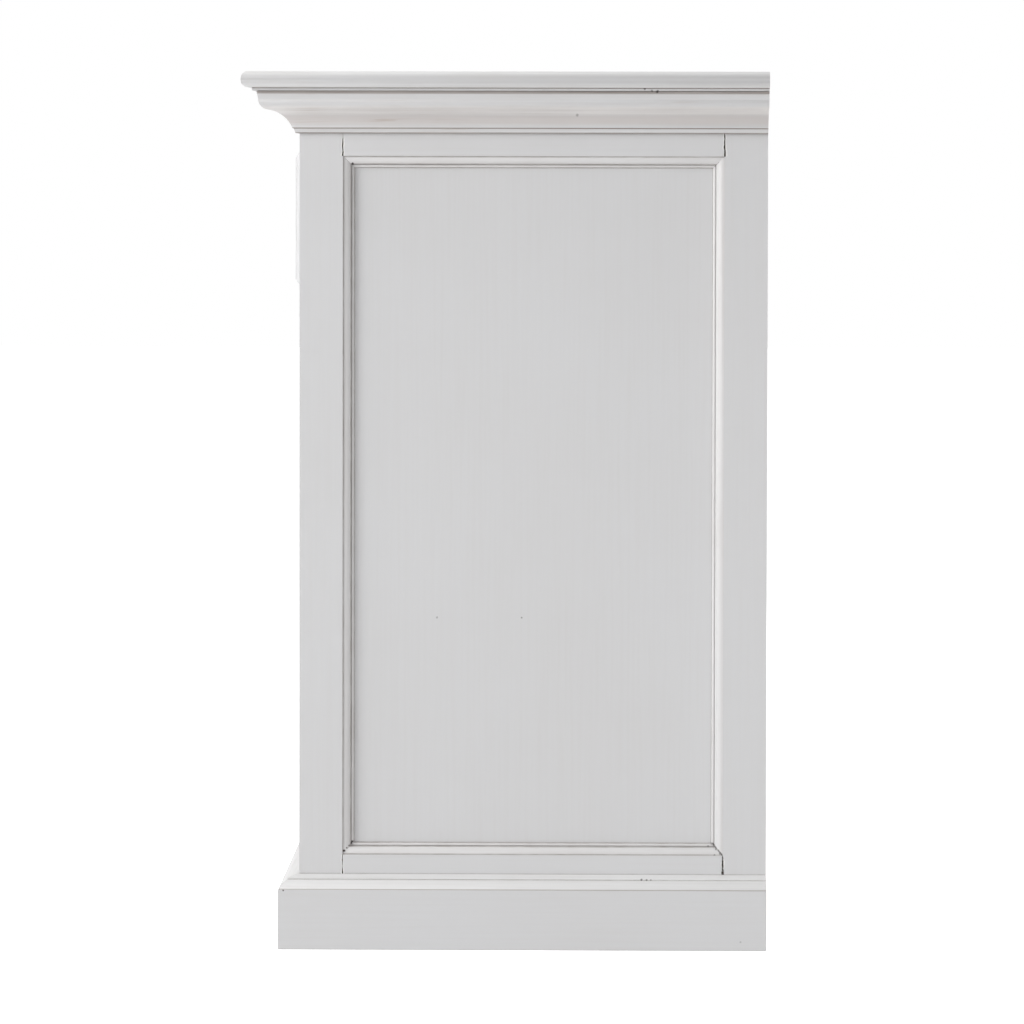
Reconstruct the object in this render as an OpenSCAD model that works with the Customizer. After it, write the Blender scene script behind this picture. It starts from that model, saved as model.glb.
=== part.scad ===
/* [Overall size] */
// Width of the body across its corner posts
body_w = 1342; // [1200:1:1600]
// Depth of the body from the face frame to the back
body_d = 454; // [400:1:520]
// Height from the floor to the top of the top board
total_h = 851; // [800:1:920]

/* [Top board] */
// Thickness of the top board
top_t = 15.6; // [15:0.1:24]
// Distance that the top board stands out past the body
top_reach = 54; // [52:1:70]
// Radius of the rounded edges of the top board
top_edge_r = 7; // [3:0.5:7.5]

/* [Cornice] */
// Height of the crown moulding
crown_h = 38.8; // [36:0.2:44]
// Distance that the face of the crown stands out at its top
crown_reach = 39.6; // [38.5:0.1:44]
// Slant of the face of the crown above its round
crown_slant = 1.7; // [0.5:0.1:3]
// Height of the slanted face of the crown
crown_face_h = 8.4; // [6:0.1:10]
// Radius of the convex round of the crown
crown_round_r = 9.8; // [8:0.1:11]
// Radius of the hollow of the crown
crown_cove_r = 28.5; // [27:0.1:31]
// Angle at which the crown's round meets its hollow, from level
crown_turn = 7.4; // [5:0.1:10]
// Lap of the crown's round over its hollow, where the two curves cross
crown_lap = 0.05; // [0.02:0.01:0.2]
// Height of the small fillet at the top of the crown
crown_fillet_h = 2.9; // [2:0.1:5]
// Distance that this fillet stands out past the face of the crown
crown_fillet_out = 4.1; // [2:0.1:8]
// Height of the bevel between the face of the crown and its fillet
crown_bevel_h = 0.5; // [0.2:0.1:1]
// Depth of this bevel
crown_bevel_in = 1.5; // [0.5:0.1:2.5]
// Height of the bed moulding under the crown
bed_h = 4.6; // [4:0.1:8]
// Distance that the bed moulding stands out at its top
bed_reach = 5.6; // [4:0.1:7]
// Slant of the face of the bed moulding
bed_slant = 1.6; // [0.5:0.1:3]

/* [Plinth] */
// Height of the plinth boards
plinth_h = 58.4; // [50:0.2:70]
// Thickness of the plinth boards
plinth_t = 20; // [18:0.5:26]
// Height of the capping moulding on the plinth
cap_h = 13.4; // [12:0.1:18]
// Distance that the foot of the capping stands out
cap_reach = 19.2; // [17:0.1:19.6]
// Radius of the rounded slope of the capping
cap_round_r = 20; // [12:0.5:30]
// Distance that the top step of the capping stands out
cap_step_reach = 10.4; // [8:0.1:12]
// Height of the top step of the capping
cap_step_h = 4.4; // [3:0.1:6]
// Height of the lip of the top step above its quirk
cap_lip_h = 0.7; // [0.4:0.1:1.5]
// Depth of the quirk, a small groove under the top step
cap_quirk = 0.5; // [0.2:0.1:1]
// Distance that the capping stands out at its very top
cap_top_reach = 2; // [1:0.1:4]

/* [Carcass frame] */
// Width of the square corner posts
post_w = 42; // [38:0.5:50]
// Thickness of the rails, mullions and door frames
rail_t = 22; // [20:0.5:26]
// Height of the rails at the top and bottom of the carcass
rail_h = 65.6; // [58:0.2:72]
// Top of the side bottom rails above the floor
side_rail_top = 90.4; // [86:0.2:110]
// Width of the mullions between the bays
mullion_w = 35; // [30:0.5:48]
// Thickness of the partitions behind the mullions
partition_t = 18; // [15:0.5:22]
// Thickness of the bottom board
bottom_t = 18; // [15:0.5:22]
// Top of the bottom board above the floor
bottom_top = 94.5; // [92:0.5:112]
// Thickness of the plywood back panels
back_panel_t = 6; // [4:0.5:8]
// Width of the upright muntins of the back
back_muntin_w = 60; // [40:1:80]

/* [Tenons] */
// Thickness of the tenons
tenon_t = 8; // [6:0.5:9]
// Length of the tenons of the carcass rails
tenon_l = 22; // [15:0.5:23]
// Distance from the edge of a wide rail to its tenon
tenon_shoulder = 12; // [11:0.5:18]
// Length of the tenons of the mullions, muntins and mid rails
short_tenon_l = 14; // [10:0.5:14.5]
// Distance from the edge of a mullion or mid rail to its tenon
short_shoulder = 6; // [4:0.5:8]
// Length of the tenons of the door rails
door_tenon_l = 30; // [20:1:40]

/* [Panels and sticking] */
// Depth from the face of a frame to the face of its panel
panel_recess = 11; // [9.5:0.1:12]
// Thickness of the side and door panels
panel_t = 6; // [5:0.5:6.5]
// Depth of the panel grooves
groove_d = 8; // [5:0.5:10]
// Width of the sticking moulding round a panel
stick_w = 11; // [9:0.1:14]
// Depth of the sticking moulding below the face of its frame
stick_drop = 2; // [1:0.1:3]
// Width of the flat on top of the sticking
stick_flat = 2; // [1:0.1:3]
// Radius of the bead at the foot of the sticking
bead_r = 1.5; // [1:0.1:2]

/* [Drawers] */
// Height of a drawer opening
drawer_open_h = 132; // [110:0.5:150]
// Top of the drawer openings below the top board
drawer_open_drop = 60.4; // [56:0.2:64]
// Gap round a drawer front
drawer_gap = 1.4; // [1:0.1:2.5]
// Thickness of a drawer front
drawer_front_t = 21; // [18:0.5:24]
// Distance that a drawer front stands out past the face frame
drawer_proud = 6.3; // [4:0.1:8]
// Radius of the moulded edge of a drawer front
drawer_edge_r = 5; // [3:0.1:6]
// Height of the flat step inside this edge
drawer_edge_step = 1; // [0.5:0.1:2]
// Thickness of the drawer sides and backs
drawer_side_t = 12; // [10:0.5:15]
// Gap between the back of a drawer and the back frame
drawer_back_gap = 33.3; // [2:0.1:90]
// Gap above the drawer sides
drawer_top_gap = 8; // [4:0.5:12]
// Thickness of the drawer bottoms
drawer_bottom_t = 5; // [4:0.5:7]
// Height of a drawer bottom above the lower edge of its sides
drawer_bottom_up = 9; // [7:0.5:14]
// Depth of the grooves that hold a drawer bottom
drawer_groove_d = 6; // [4:0.5:8]
// Number of dovetails at each corner of a drawer
tail_count = 4; // [3:1:6]
// Flare of each side of a dovetail
tail_flare = 2; // [1:0.1:3]
// Share of the side's height that the roots of the dovetails take
tail_share = 0.55; // [0.4:0.01:0.65]
// Length of the lapped dovetails in a drawer front
drawer_lap = 8; // [5:0.5:12]
// Width of a drawer runner under the drawer side
runner_w = 18; // [14:0.5:24]
// Height of the runners, guides and kickers
runner_h = 20; // [14:0.5:24]
// Height of the rail between the drawers and the doors
mid_rail_h = 25; // [22:0.5:32]

/* [Doors] */
// Gap round a door
door_gap = 2; // [1.6:0.1:3]
// Width of the door stiles
door_stile_w = 55; // [48:0.5:70]
// Height of the door rails
door_rail_h = 60; // [50:0.5:80]

/* [Hinges] */
// Height of a hinge leaf
leaf_h = 50; // [40:1:70]
// Thickness of a hinge leaf
leaf_t = 1.2; // [1:0.1:1.5]
// Distance that a hinge leaf reaches back from the pin
leaf_d = 17; // [14:0.5:18]
// Outer radius of the hinge knuckles
knuckle_r = 2.5; // [2.2:0.1:2.8]
// Number of knuckles on a hinge
knuckle_count = 5; // [3:2:7]
// Radius of the hinge pins
hinge_pin_r = 1.15; // [1:0.05:1.3]
// Depth of the pin line behind the face frame
hinge_set_back = 0.5; // [0.4:0.1:0.8]
// Distance from a door's edge to the end of its hinge
hinge_inset = 70; // [50:1:110]
// Height of the button heads on the pins
pin_head_h = 1.6; // [1:0.1:2.5]
// Radius of these button heads
pin_head_r = 2; // [1.6:0.1:2.2]

/* [Ring pulls] */
// Radius of the round plates
plate_r = 19; // [16:0.5:24]
// Thickness of the round plates
plate_t = 2; // [1.5:0.1:3]
// Radius of the ring to the middle of its wire
ring_r = 16; // [13:0.5:20]
// Radius of the ring's wire
wire_r = 2; // [1.6:0.1:2.5]
// Gap between the hanging ring and its plate
ring_gap = 0.6; // [0.4:0.1:1.2]
// Width of the eye that holds the ring
eye_w = 6; // [5:0.5:8]
// Clearance of the ring's wire in its eye
eye_clear = 0.5; // [0.3:0.1:0.8]
// Wall of the eye round its bore
eye_wall = 1.4; // [1:0.1:2.5]
// Height of the drawer pulls above the middle of a drawer
drawer_pull_up = 8; // [0:0.5:14]
// Height of the door pulls above the middle of a door
door_pull_up = 95; // [40:1:140]

/* [Shelves and small parts] */
// Thickness of the shelves
shelf_t = 16; // [12:0.5:20]
// Gap at each end of a shelf
shelf_gap = 1; // [0.5:0.1:2]
// Distance from a door to the front edge of a shelf
shelf_set_back = 8; // [4:0.5:30]
// Distance that a shelf runs back past its rear pins
shelf_tail = 8; // [4:0.5:14]
// Radius of the shelf pins
shelf_pin_r = 2.5; // [2:0.1:3]
// Length of a shelf pin
shelf_pin_l = 15; // [14:0.5:17]
// Depth of the shelf pin holes
shelf_hole_d = 8; // [7.5:0.1:8.5]
// Upright distance between shelf pin holes
shelf_pitch = 64; // [32:1:80]
// Distance from a door to the front shelf pins
shelf_pin_set_in = 11; // [10:0.5:14]
// Distance from the front faces of the rear posts to the rear shelf pins
shelf_pin_rear_in = 10.2; // [6:0.1:16]
// Radius of the ball catches
catch_r = 4; // [3:0.5:5]
// Length of the ball catches
catch_l = 14; // [10:0.5:18]
// Radius of the ball in a catch
ball_r = 2.8; // [2:0.1:2.9]
// Distance that the ball stands out of its catch
ball_out = 1.4; // [0.8:0.1:1.5]
// Width of the stops behind the drawer fronts and the doors
stop_w = 40; // [20:1:60]
// Thickness of the stops
stop_t = 6; // [4:0.5:6.5]
// Distance of the stops from the middle of their bay
stop_out = 110; // [40:1:120]
// Height of a drawer stop on its rail
drawer_stop_h = 5; // [3:0.5:6]
// Distance that a door stop hangs below its rail
door_stop_drop = 15; // [8:1:30]
// Width of the buttons that hold the top board
button_w = 35; // [25:1:45]
// Length of the buttons from the rail
button_l = 26; // [20:1:34]
// Thickness of the buttons
button_t = 14; // [10:0.5:18]
// Depth of a button's tongue in its rail
tongue_d = 6; // [4:0.5:8]
// Thickness of a button's tongue
tongue_t = 6; // [4:0.5:8]

/* [Fits] */
// Radial clearance of pins in their bores
pin_clear = 0.05; // [0.02:0.01:0.1]
// Clearance between pieces that slide or turn past each other
run_clear = 0.3; // [0.2:0.05:0.6]
// Clearance of fixed pieces in their grooves and mortises
fit_clear = 0.1; // [0.05:0.05:0.3]
// Clearance of the hinge leaves beside the pin line and between knuckles
leaf_clear = 0.1; // [0.05:0.05:0.2]
// Room left at the edges of a panel in its groove
panel_room = 1; // [0.5:0.1:2]
// Hairline left where two pieces of one frame or moulding are glued
joint_line = 0.08; // [0.04:0.01:0.15]

/* [Hidden] */
side_x = body_w / 2;
back_y = (body_d + top_reach) / 2;
front_y = back_y - body_d;
top_w = body_w + 2 * top_reach;
top_z = total_h - top_t;
crown_z = top_z - crown_h;
bed_z = crown_z - bed_h;
cap_z = plinth_h;

post_x = side_x - post_w;
rail_x = side_x - rail_t;
frame_back_y = front_y + rail_t;
back_frame_y = back_y - rail_t;
post_back_y = front_y + post_w;
rear_post_y = back_y - post_w;
top_rail_z = top_z - rail_h;
bottom_rail_z = side_rail_top - rail_h;
panel_x = side_x - panel_recess;

drawer_z1 = top_z - drawer_open_drop;
drawer_z0 = drawer_z1 - drawer_open_h;
mid_rail_z = drawer_z0 - mid_rail_h;
// Height spans of the long rails of the face frame and of the back frame
FACE_SPANS = [[bottom_top - rail_h, bottom_top], [drawer_z1, top_z]];
BACK_SPANS = [[bottom_top - rail_h, bottom_top], [top_rail_z, top_z]];
door_open_z0 = bottom_top;
door_open_z1 = mid_rail_z;
door_z0 = door_open_z0 + door_gap;
door_z1 = door_open_z1 - door_gap;
door_h = door_z1 - door_z0;

BAYS = [-1, 0, 1];
bay_w = (body_w - 2 * post_w - 2 * mullion_w) / 3;
bay_pitch = bay_w + mullion_w;
mullion_x = bay_pitch / 2;
door_w = bay_w - 2 * door_gap;
drawer_w = bay_w - 2 * drawer_gap;

drawer_front_y = front_y - drawer_proud;
drawer_side_y = drawer_front_y + drawer_front_t;
drawer_side_l = back_frame_y - drawer_side_y - drawer_back_gap;
drawer_bottom_z = drawer_z0 + run_clear;
drawer_side_h = drawer_open_h - run_clear - drawer_top_gap;
drawer_back_y = drawer_side_y + drawer_side_l - drawer_side_t;

// Half of the opening between two door edges, measured from the hinge pin
pin_offset = door_gap / 2;
pin_line_y = front_y + hinge_set_back;
hinge_low_z = door_z0 + hinge_inset;
hinge_high_z = door_z1 - hinge_inset - leaf_h;
HINGE_Z = [hinge_low_z, hinge_high_z];
knuckle_h = leaf_h / knuckle_count;
pin_well_r = knuckle_r + run_clear;
// Side of each bay's door that carries the hinges
HINGE_SIDE = [-1, -1, 1];

eye_bore_r = wire_r + eye_clear;
eye_r = eye_bore_r + eye_wall;
ring_axis_out = plate_t + ring_gap + wire_r;
door_pull_z = (door_z0 + door_z1) / 2 + door_pull_up;
drawer_pull_z = (drawer_z0 + drawer_z1) / 2 + drawer_pull_up;

shelf_mid_z = (door_open_z0 + door_open_z1) / 2;
shelf_front_y = frame_back_y + shelf_set_back;
shelf_pin_y0 = frame_back_y + shelf_pin_set_in;
shelf_pin_y1 = rear_post_y + shelf_pin_rear_in;
shelf_back_y = shelf_pin_y1 + shelf_tail;
SHELF_ROWS = [-1, 0, 1];

stick_h = panel_recess - stick_drop;
stick_round_r = stick_w - 2 * bead_r - stick_flat;

// Distance from the faces of a rail to its tenon
tenon_side = (rail_t - tenon_t) / 2;
// Distance that a cut runs past the face it starts from
over = 1;

PAINT = "whitesmoke";
TIMBER = "burlywood";
PLY = "wheat";
BRASS = "darkgoldenrod";

// Both sides of the cabinet
module both_sides() {
  for (s = [0, 1]) mirror([s, 0, 0]) children();
}

// A flat shape whose x is the way out and y is up, run along the front of the body
module front_run(length) {
  translate([0, front_y, 0]) mirror([0, 1, 0]) rotate([90, 0, 90])
    linear_extrude(height = length, center = true) children();
}

// The same shape run along the right side of the body
module side_run(length) {
  translate([side_x, 0, 0]) rotate([90, 0, 0])
    linear_extrude(height = length, center = true) children();
}

// Plan of a front length that is mitred at both ends
module front_plan(reach) {
  polygon([
    [-side_x, front_y], [side_x, front_y],
    [side_x + reach, front_y - reach], [-side_x - reach, front_y - reach]
  ]);
}

// Plan of a right side length that is mitred at the front and square at the back
module side_plan(reach) {
  polygon([
    [side_x, front_y + joint_line], [side_x + reach, front_y - reach + joint_line],
    [side_x + reach, back_y], [side_x, back_y]
  ]);
}

// A front length and two side lengths of one moulding, with mitres at the front corners
module mitred_run(reach, front = true, sides = true) {
  if (front) intersection() {
    front_run(body_w + 2 * reach) children();
    linear_extrude(height = total_h) front_plan(reach);
  }
  if (sides) both_sides() intersection() {
    side_run(body_d * 2 + 2 * reach) children();
    linear_extrude(height = total_h) side_plan(reach);
  }
}

// Top board

module top_edge_section(width) {
  flat = width - 2 * top_edge_r;
  translate([-flat / 2, 0]) square([flat, top_t]);
  translate([-width / 2, top_edge_r]) square([width, top_t - 2 * top_edge_r]);
  for (s = [-1, 1], z = [top_edge_r, top_t - top_edge_r])
    translate([s * flat / 2, z]) circle(r = top_edge_r, $fn = 48);
}

module top_board() color(PAINT) translate([0, 0, top_z]) intersection() {
  rotate([90, 0, 0]) linear_extrude(height = 2 * top_w, center = true) top_edge_section(top_w);
  translate([0, back_y - top_w, 0]) rotate([90, 0, 90])
    linear_extrude(height = 2 * top_w, center = true) intersection() {
      translate([top_w - body_d - top_reach + top_w / 2, 0]) top_edge_section(top_w);
      square([top_w, top_t]);
    }
}

// Cornice

// The face slants down to a round, which turns over into a hollow of the opposite curve
module crown_section() {
  fillet_z = crown_h - crown_fillet_h;
  face_z = fillet_z - crown_face_h;
  round_x = crown_reach - crown_slant - crown_round_r;
  turn_x = round_x + crown_round_r * sin(crown_turn);
  turn_z = face_z - crown_round_r * cos(crown_turn);
  cove_away = crown_cove_r - crown_lap;
  difference() {
    square([turn_x, face_z]);
    translate([turn_x + cove_away * sin(crown_turn), turn_z - cove_away * cos(crown_turn)])
      circle(r = crown_cove_r, $fn = 96);
  }
  translate([round_x, face_z]) circle(r = crown_round_r, $fn = 64);
  polygon([
    [0, face_z], [round_x + crown_round_r, face_z],
    [crown_reach, fillet_z - crown_bevel_h], [crown_reach - crown_bevel_in, fillet_z], [0, fillet_z]
  ]);
  translate([0, fillet_z]) square([crown_reach + crown_fillet_out, crown_fillet_h]);
}

module crown_moulding() color(PAINT)
  mitred_run(crown_reach + crown_fillet_out) translate([0, crown_z]) crown_section();

module bed_moulding() color(PAINT) mitred_run(bed_reach) translate([0, bed_z])
  polygon([[0, 0], [bed_reach - bed_slant, 0], [bed_reach, bed_h], [0, bed_h]]);

// Plinth

module plinth_front() color(PAINT)
  mitred_run(plinth_t, sides = false) square([plinth_t, plinth_h]);

module plinth_sides() color(PAINT)
  mitred_run(plinth_t, front = false) square([plinth_t, plinth_h]);

// A rounded slope under a stepped top, whose round passes through its foot and its quirk
module capping_section() {
  step_z = cap_h - cap_step_h;
  quirk_x = cap_step_reach - cap_quirk;
  chord = norm([cap_reach - cap_step_reach, step_z]);
  sag = sqrt(pow(cap_round_r, 2) - pow(chord / 2, 2));
  intersection() {
    square([cap_reach, step_z]);
    translate([
      (cap_reach + cap_step_reach) / 2 - sag * step_z / chord,
      step_z / 2 - sag * (cap_reach - cap_step_reach) / chord
    ]) circle(r = cap_round_r, $fn = 160);
    polygon([
      [0, 0], [cap_reach, 0], [cap_reach, step_z - cap_quirk],
      [cap_step_reach, step_z - cap_quirk], [quirk_x, step_z], [0, step_z]
    ]);
  }
  polygon([
    [0, step_z], [quirk_x, step_z], [cap_step_reach, step_z + cap_quirk],
    [cap_step_reach, step_z + cap_quirk + cap_lip_h], [cap_top_reach, cap_h], [0, cap_h]
  ]);
}

module plinth_capping() color(PAINT)
  mitred_run(cap_reach) translate([0, cap_z]) capping_section();

// Carcass frame

// A bar as long as a rail or stile and its two tenons. Inset is the distance from each pair of its
// faces, below zero where it stands out, and a mortise is the same bar grown by its clearance
module tenon_bar(corner, size, inset, grow) {
  translate([for (i = [0:2]) corner[i] + inset[i] - grow])
    cube([for (i = [0:2]) size[i] - 2 * (inset[i] - grow)]);
}

module side_rail_tenons(grow = 0) for (z = [bottom_rail_z, top_rail_z])
  tenon_bar(
    [rail_x, post_back_y, z], [rail_t, rear_post_y - post_back_y, rail_h],
    [tenon_side, -tenon_l, tenon_shoulder], grow
  );

// Tenons of the long rails of the face frame or the back frame, given their height spans
module long_rail_tenons(y, spans, grow = 0) for (span = spans)
  tenon_bar(
    [-post_x, y, span[0]], [2 * post_x, rail_t, span[1] - span[0]],
    [-tenon_l, tenon_side, tenon_shoulder], grow
  );

module mid_rail_tenons(grow = 0) for (bay = BAYS)
  tenon_bar(
    [bay * bay_pitch - bay_w / 2, front_y, mid_rail_z], [bay_w, rail_t, mid_rail_h],
    [-short_tenon_l, tenon_side, short_shoulder], grow
  );

// Tenons of two upright members of a frame, given their width, place, ends and shoulder
module upright_tenons(width, y, z0, z1, shoulder, grow = 0) for (s = [-1, 1])
  tenon_bar(
    [s * mullion_x - width / 2, y, z0], [width, rail_t, z1 - z0],
    [shoulder, tenon_side, -short_tenon_l], grow
  );

module mullion_tenons(grow = 0)
  upright_tenons(mullion_w, front_y, bottom_top, drawer_z1, short_shoulder, grow);

module muntin_tenons(grow = 0)
  upright_tenons(back_muntin_w, back_frame_y, bottom_top, top_rail_z, tenon_shoulder, grow);

// Groove for a side panel, drawn on the right side
module side_panel_groove() {
  translate([
    panel_x - panel_t - fit_clear, post_back_y - groove_d, bottom_rail_z + rail_h - groove_d
  ]) cube([
    panel_t + fit_clear,
    rear_post_y - post_back_y + 2 * groove_d,
    top_rail_z - bottom_rail_z - rail_h + 2 * groove_d
  ]);
}

// Shelf pin holes through one face, from an origin on that face at the middle shelf
module shelf_holes(way) {
  for (y = [shelf_pin_y0, shelf_pin_y1], row = SHELF_ROWS)
    translate([0, y, shelf_mid_z - shelf_t / 2 - shelf_pin_r + row * shelf_pitch])
      rotate([0, way * 90, 0]) cylinder(r = shelf_pin_r + pin_clear, h = shelf_hole_d, $fn = 24);
}

// Room for the hinges, with the pin line at the origin and the frame on the side named
module hinge_well(frame_side) {
  for (z = HINGE_Z) translate([0, 0, z]) {
    translate([0, 0, -pin_head_h - run_clear])
      cylinder(r = pin_well_r, h = leaf_h + 2 * (pin_head_h + run_clear), $fn = 32);
    translate([min(0, frame_side * (leaf_clear + leaf_t)), 0, 0])
      cube([leaf_clear + leaf_t, leaf_d, leaf_h]);
  }
}

module front_posts() color(PAINT) both_sides() difference() {
  translate([post_x, front_y, 0]) cube([post_w, post_w, top_z]);
  side_panel_groove();
  side_rail_tenons(fit_clear);
  long_rail_tenons(front_y, FACE_SPANS, fit_clear);
  mid_rail_tenons(fit_clear);
  translate([post_x + pin_offset - door_gap, pin_line_y, 0]) hinge_well(1);
  translate([post_x, 0, 0]) shelf_holes(1);
}

module rear_posts() color(PAINT) both_sides() difference() {
  translate([post_x, rear_post_y, 0]) cube([post_w, post_w, top_z]);
  side_panel_groove();
  back_groove();
  side_rail_tenons(fit_clear);
  long_rail_tenons(back_frame_y, BACK_SPANS, fit_clear);
  translate([post_x, 0, 0]) shelf_holes(1);
}

module side_rails() color(PAINT) both_sides() difference() {
  union() {
    for (z = [bottom_rail_z, top_rail_z])
      translate([rail_x, post_back_y, z]) cube([rail_t, rear_post_y - post_back_y, rail_h]);
    side_rail_tenons();
  }
  side_panel_groove();
  button_slot(rail_x, (front_y + back_y) / 2, 90);
}

module side_panels() color(PAINT) both_sides()
  translate([
    panel_x - panel_t, post_back_y - groove_d + panel_room,
    bottom_rail_z + rail_h - groove_d + panel_room
  ]) cube([
    panel_t,
    rear_post_y - post_back_y + 2 * (groove_d - panel_room),
    top_rail_z - bottom_rail_z - rail_h + 2 * (groove_d - panel_room)
  ]);

// Sticking moulding, where x is the way in from the frame and y is the height above the panel
module sticking_section() {
  round_foot = stick_flat + stick_round_r;
  round_z = stick_h - stick_round_r;
  square([stick_flat, stick_h]);
  square([round_foot, round_z]);
  intersection() {
    translate([stick_flat, round_z]) circle(r = stick_round_r, $fn = 48);
    translate([stick_flat, round_z]) square(stick_round_r);
  }
  translate([round_foot, 0]) square([2 * bead_r, bead_r]);
  translate([round_foot + bead_r, bead_r]) circle(r = bead_r, $fn = 32);
}

// Four mitred lengths of sticking round an opening, flat on its panel and facing up
module sticking_frame(width, height) {
  side_h = height - 2 * joint_line;
  for (s = [0, 1]) mirror([0, s, 0]) intersection() {
    translate([0, -height / 2, 0]) rotate([90, 0, 90])
      linear_extrude(height = width, center = true) sticking_section();
    linear_extrude(height = stick_h) polygon([
      [-width / 2, -height / 2], [width / 2, -height / 2],
      [width / 2 - stick_w, -height / 2 + stick_w], [-width / 2 + stick_w, -height / 2 + stick_w]
    ]);
  }
  for (s = [0, 1]) mirror([s, 0, 0]) intersection() {
    translate([-width / 2, 0, 0]) rotate([90, 0, 0])
      linear_extrude(height = height, center = true) sticking_section();
    linear_extrude(height = stick_h) polygon([
      [-width / 2, -side_h / 2], [-width / 2, side_h / 2],
      [-width / 2 + stick_w, side_h / 2 - stick_w], [-width / 2 + stick_w, -side_h / 2 + stick_w]
    ]);
  }
}

module side_mouldings() color(PAINT) both_sides()
  translate([
    panel_x, (post_back_y + rear_post_y) / 2, (bottom_rail_z + rail_h + top_rail_z) / 2
  ]) rotate([90, 0, 90])
    sticking_frame(rear_post_y - post_back_y, top_rail_z - bottom_rail_z - rail_h);

// Slot for a button's tongue, going into a rail from the inner face named
module button_slot(x, y, turn) {
  translate([x, y, top_z - button_t]) rotate([0, 0, turn - 90])
    translate([-fit_clear, -button_w / 2 - fit_clear, 0])
      cube([tongue_d + 2 * fit_clear, button_w + 2 * fit_clear, tongue_t]);
}

module face_rails() color(PAINT) difference() {
  union() {
    for (span = FACE_SPANS)
      translate([-post_x, front_y, span[0]]) cube([2 * post_x, rail_t, span[1] - span[0]]);
    long_rail_tenons(front_y, FACE_SPANS);
  }
  mullion_tenons(fit_clear);
  for (bay = BAYS) button_slot(bay * bay_pitch, frame_back_y, 0);
}

module mid_rails() color(PAINT) difference() {
  union() {
    for (bay = BAYS) translate([bay * bay_pitch - bay_w / 2, front_y, mid_rail_z])
      cube([bay_w, rail_t, mid_rail_h]);
    mid_rail_tenons();
    door_stops();
  }
  for (i = [0:2]) translate([catch_x(i), catch_y(), mid_rail_z - over])
    cylinder(r = catch_r + pin_clear, h = catch_l + over, $fn = 32);
}

// Blocks behind a mid rail that keep the door below it from swinging in
module door_stops() for (i = [0:2])
  translate([
    door_x(i) - HINGE_SIDE[i] * stop_out - stop_w / 2, frame_back_y + run_clear, mid_rail_z - door_stop_drop
  ]) cube([stop_w, stop_t, mid_rail_h / 2 + door_stop_drop]);

module mullions() color(PAINT) difference() {
  union() {
    for (s = [-1, 1]) translate([s * mullion_x - mullion_w / 2, front_y, bottom_top])
      cube([mullion_w, rail_t, drawer_z1 - bottom_top]);
    mullion_tenons();
  }
  mid_rail_tenons(fit_clear);
  translate([hinge_x(1), pin_line_y, 0]) hinge_well(-1);
}

module partitions() color(TIMBER) for (s = [-1, 1]) difference() {
  translate([s * mullion_x - partition_t / 2, frame_back_y, bottom_top])
    cube([partition_t, back_frame_y - frame_back_y, top_z - bottom_top]);
  for (way = [-1, 1]) translate([s * mullion_x - way * partition_t / 2, 0, 0]) shelf_holes(way);
}

module bottom_board() color(TIMBER) difference() {
  translate([-rail_x, frame_back_y, bottom_top - bottom_t])
    cube([2 * rail_x, back_frame_y - frame_back_y, bottom_t]);
  for (s = [-1, 1], y = [front_y, rear_post_y])
    translate([s * side_x - post_w * (s + 1) / 2, y, 0]) cube([post_w, post_w, top_z]);
}

// Inner faces beside one bay's drawer: the stretch of wood between them and the opening
function guide_out(side, bay) = (bay == side) ? rail_x - post_x : (mullion_w - partition_t) / 2;
function guide_y0(side, bay) = (bay == side) ? post_back_y : frame_back_y;
function guide_y1(side, bay) = (bay == side) ? rear_post_y : back_frame_y;

// A strip beside one drawer, from a distance inside its opening to the carcass
module drawer_strip(bay, side, inward, outward, z, h, y0, y1) {
  x = bay * bay_pitch + side * bay_w / 2;
  translate([x - (side > 0 ? inward : outward), y0, z]) cube([inward + outward, y1 - y0, h]);
}

// A runner with its guide, and a stop on the mid rail for the back of the drawer front
module drawer_runners() color(TIMBER) for (bay = BAYS, side = [-1, 1]) {
  y0 = guide_y0(side, bay);
  y1 = guide_y1(side, bay);
  out = guide_out(side, bay);
  drawer_strip(
    bay, side, runner_w, -joint_line, drawer_z0 - runner_h, runner_h, frame_back_y, y1
  );
  drawer_strip(bay, side, 0, out, drawer_z0 - runner_h, 2 * runner_h, y0, y1);
  translate([bay * bay_pitch + side * stop_out - stop_w / 2, drawer_side_y + run_clear, drawer_z0])
    cube([stop_w, stop_t, drawer_stop_h]);
}

module drawer_kickers() color(TIMBER) for (bay = BAYS, side = [-1, 1])
  drawer_strip(
    bay, side, runner_w, guide_out(side, bay), drawer_z1, runner_h,
    guide_y0(side, bay), guide_y1(side, bay)
  );

// Back

module back_groove() {
  for (s = [-1, 0, 1])
    translate([
      back_bay_x(s) - back_bay_w(s) / 2 - groove_d,
      back_y - rail_t / 2 - back_panel_t / 2,
      bottom_top - groove_d
    ]) cube([
      back_bay_w(s) + 2 * groove_d, back_panel_t + fit_clear,
      top_rail_z - bottom_top + 2 * groove_d
    ]);
}

function back_bay_w(s) = (s == 0)
  ? 2 * mullion_x - back_muntin_w
  : post_x - mullion_x - back_muntin_w / 2;
function back_bay_x(s) = s * (post_x + mullion_x + back_muntin_w / 2) / 2;

module back_rails() color(TIMBER) difference() {
  union() {
    for (span = BACK_SPANS)
      translate([-post_x, back_frame_y, span[0]]) cube([2 * post_x, rail_t, span[1] - span[0]]);
    long_rail_tenons(back_frame_y, BACK_SPANS);
  }
  back_groove();
  muntin_tenons(fit_clear);
  for (bay = BAYS) button_slot(bay * bay_pitch, back_frame_y, 180);
}

module back_muntins() color(TIMBER) difference() {
  union() {
    for (s = [-1, 1]) translate([s * mullion_x - back_muntin_w / 2, back_frame_y, bottom_top])
      cube([back_muntin_w, rail_t, top_rail_z - bottom_top]);
    muntin_tenons();
  }
  back_groove();
}

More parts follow.
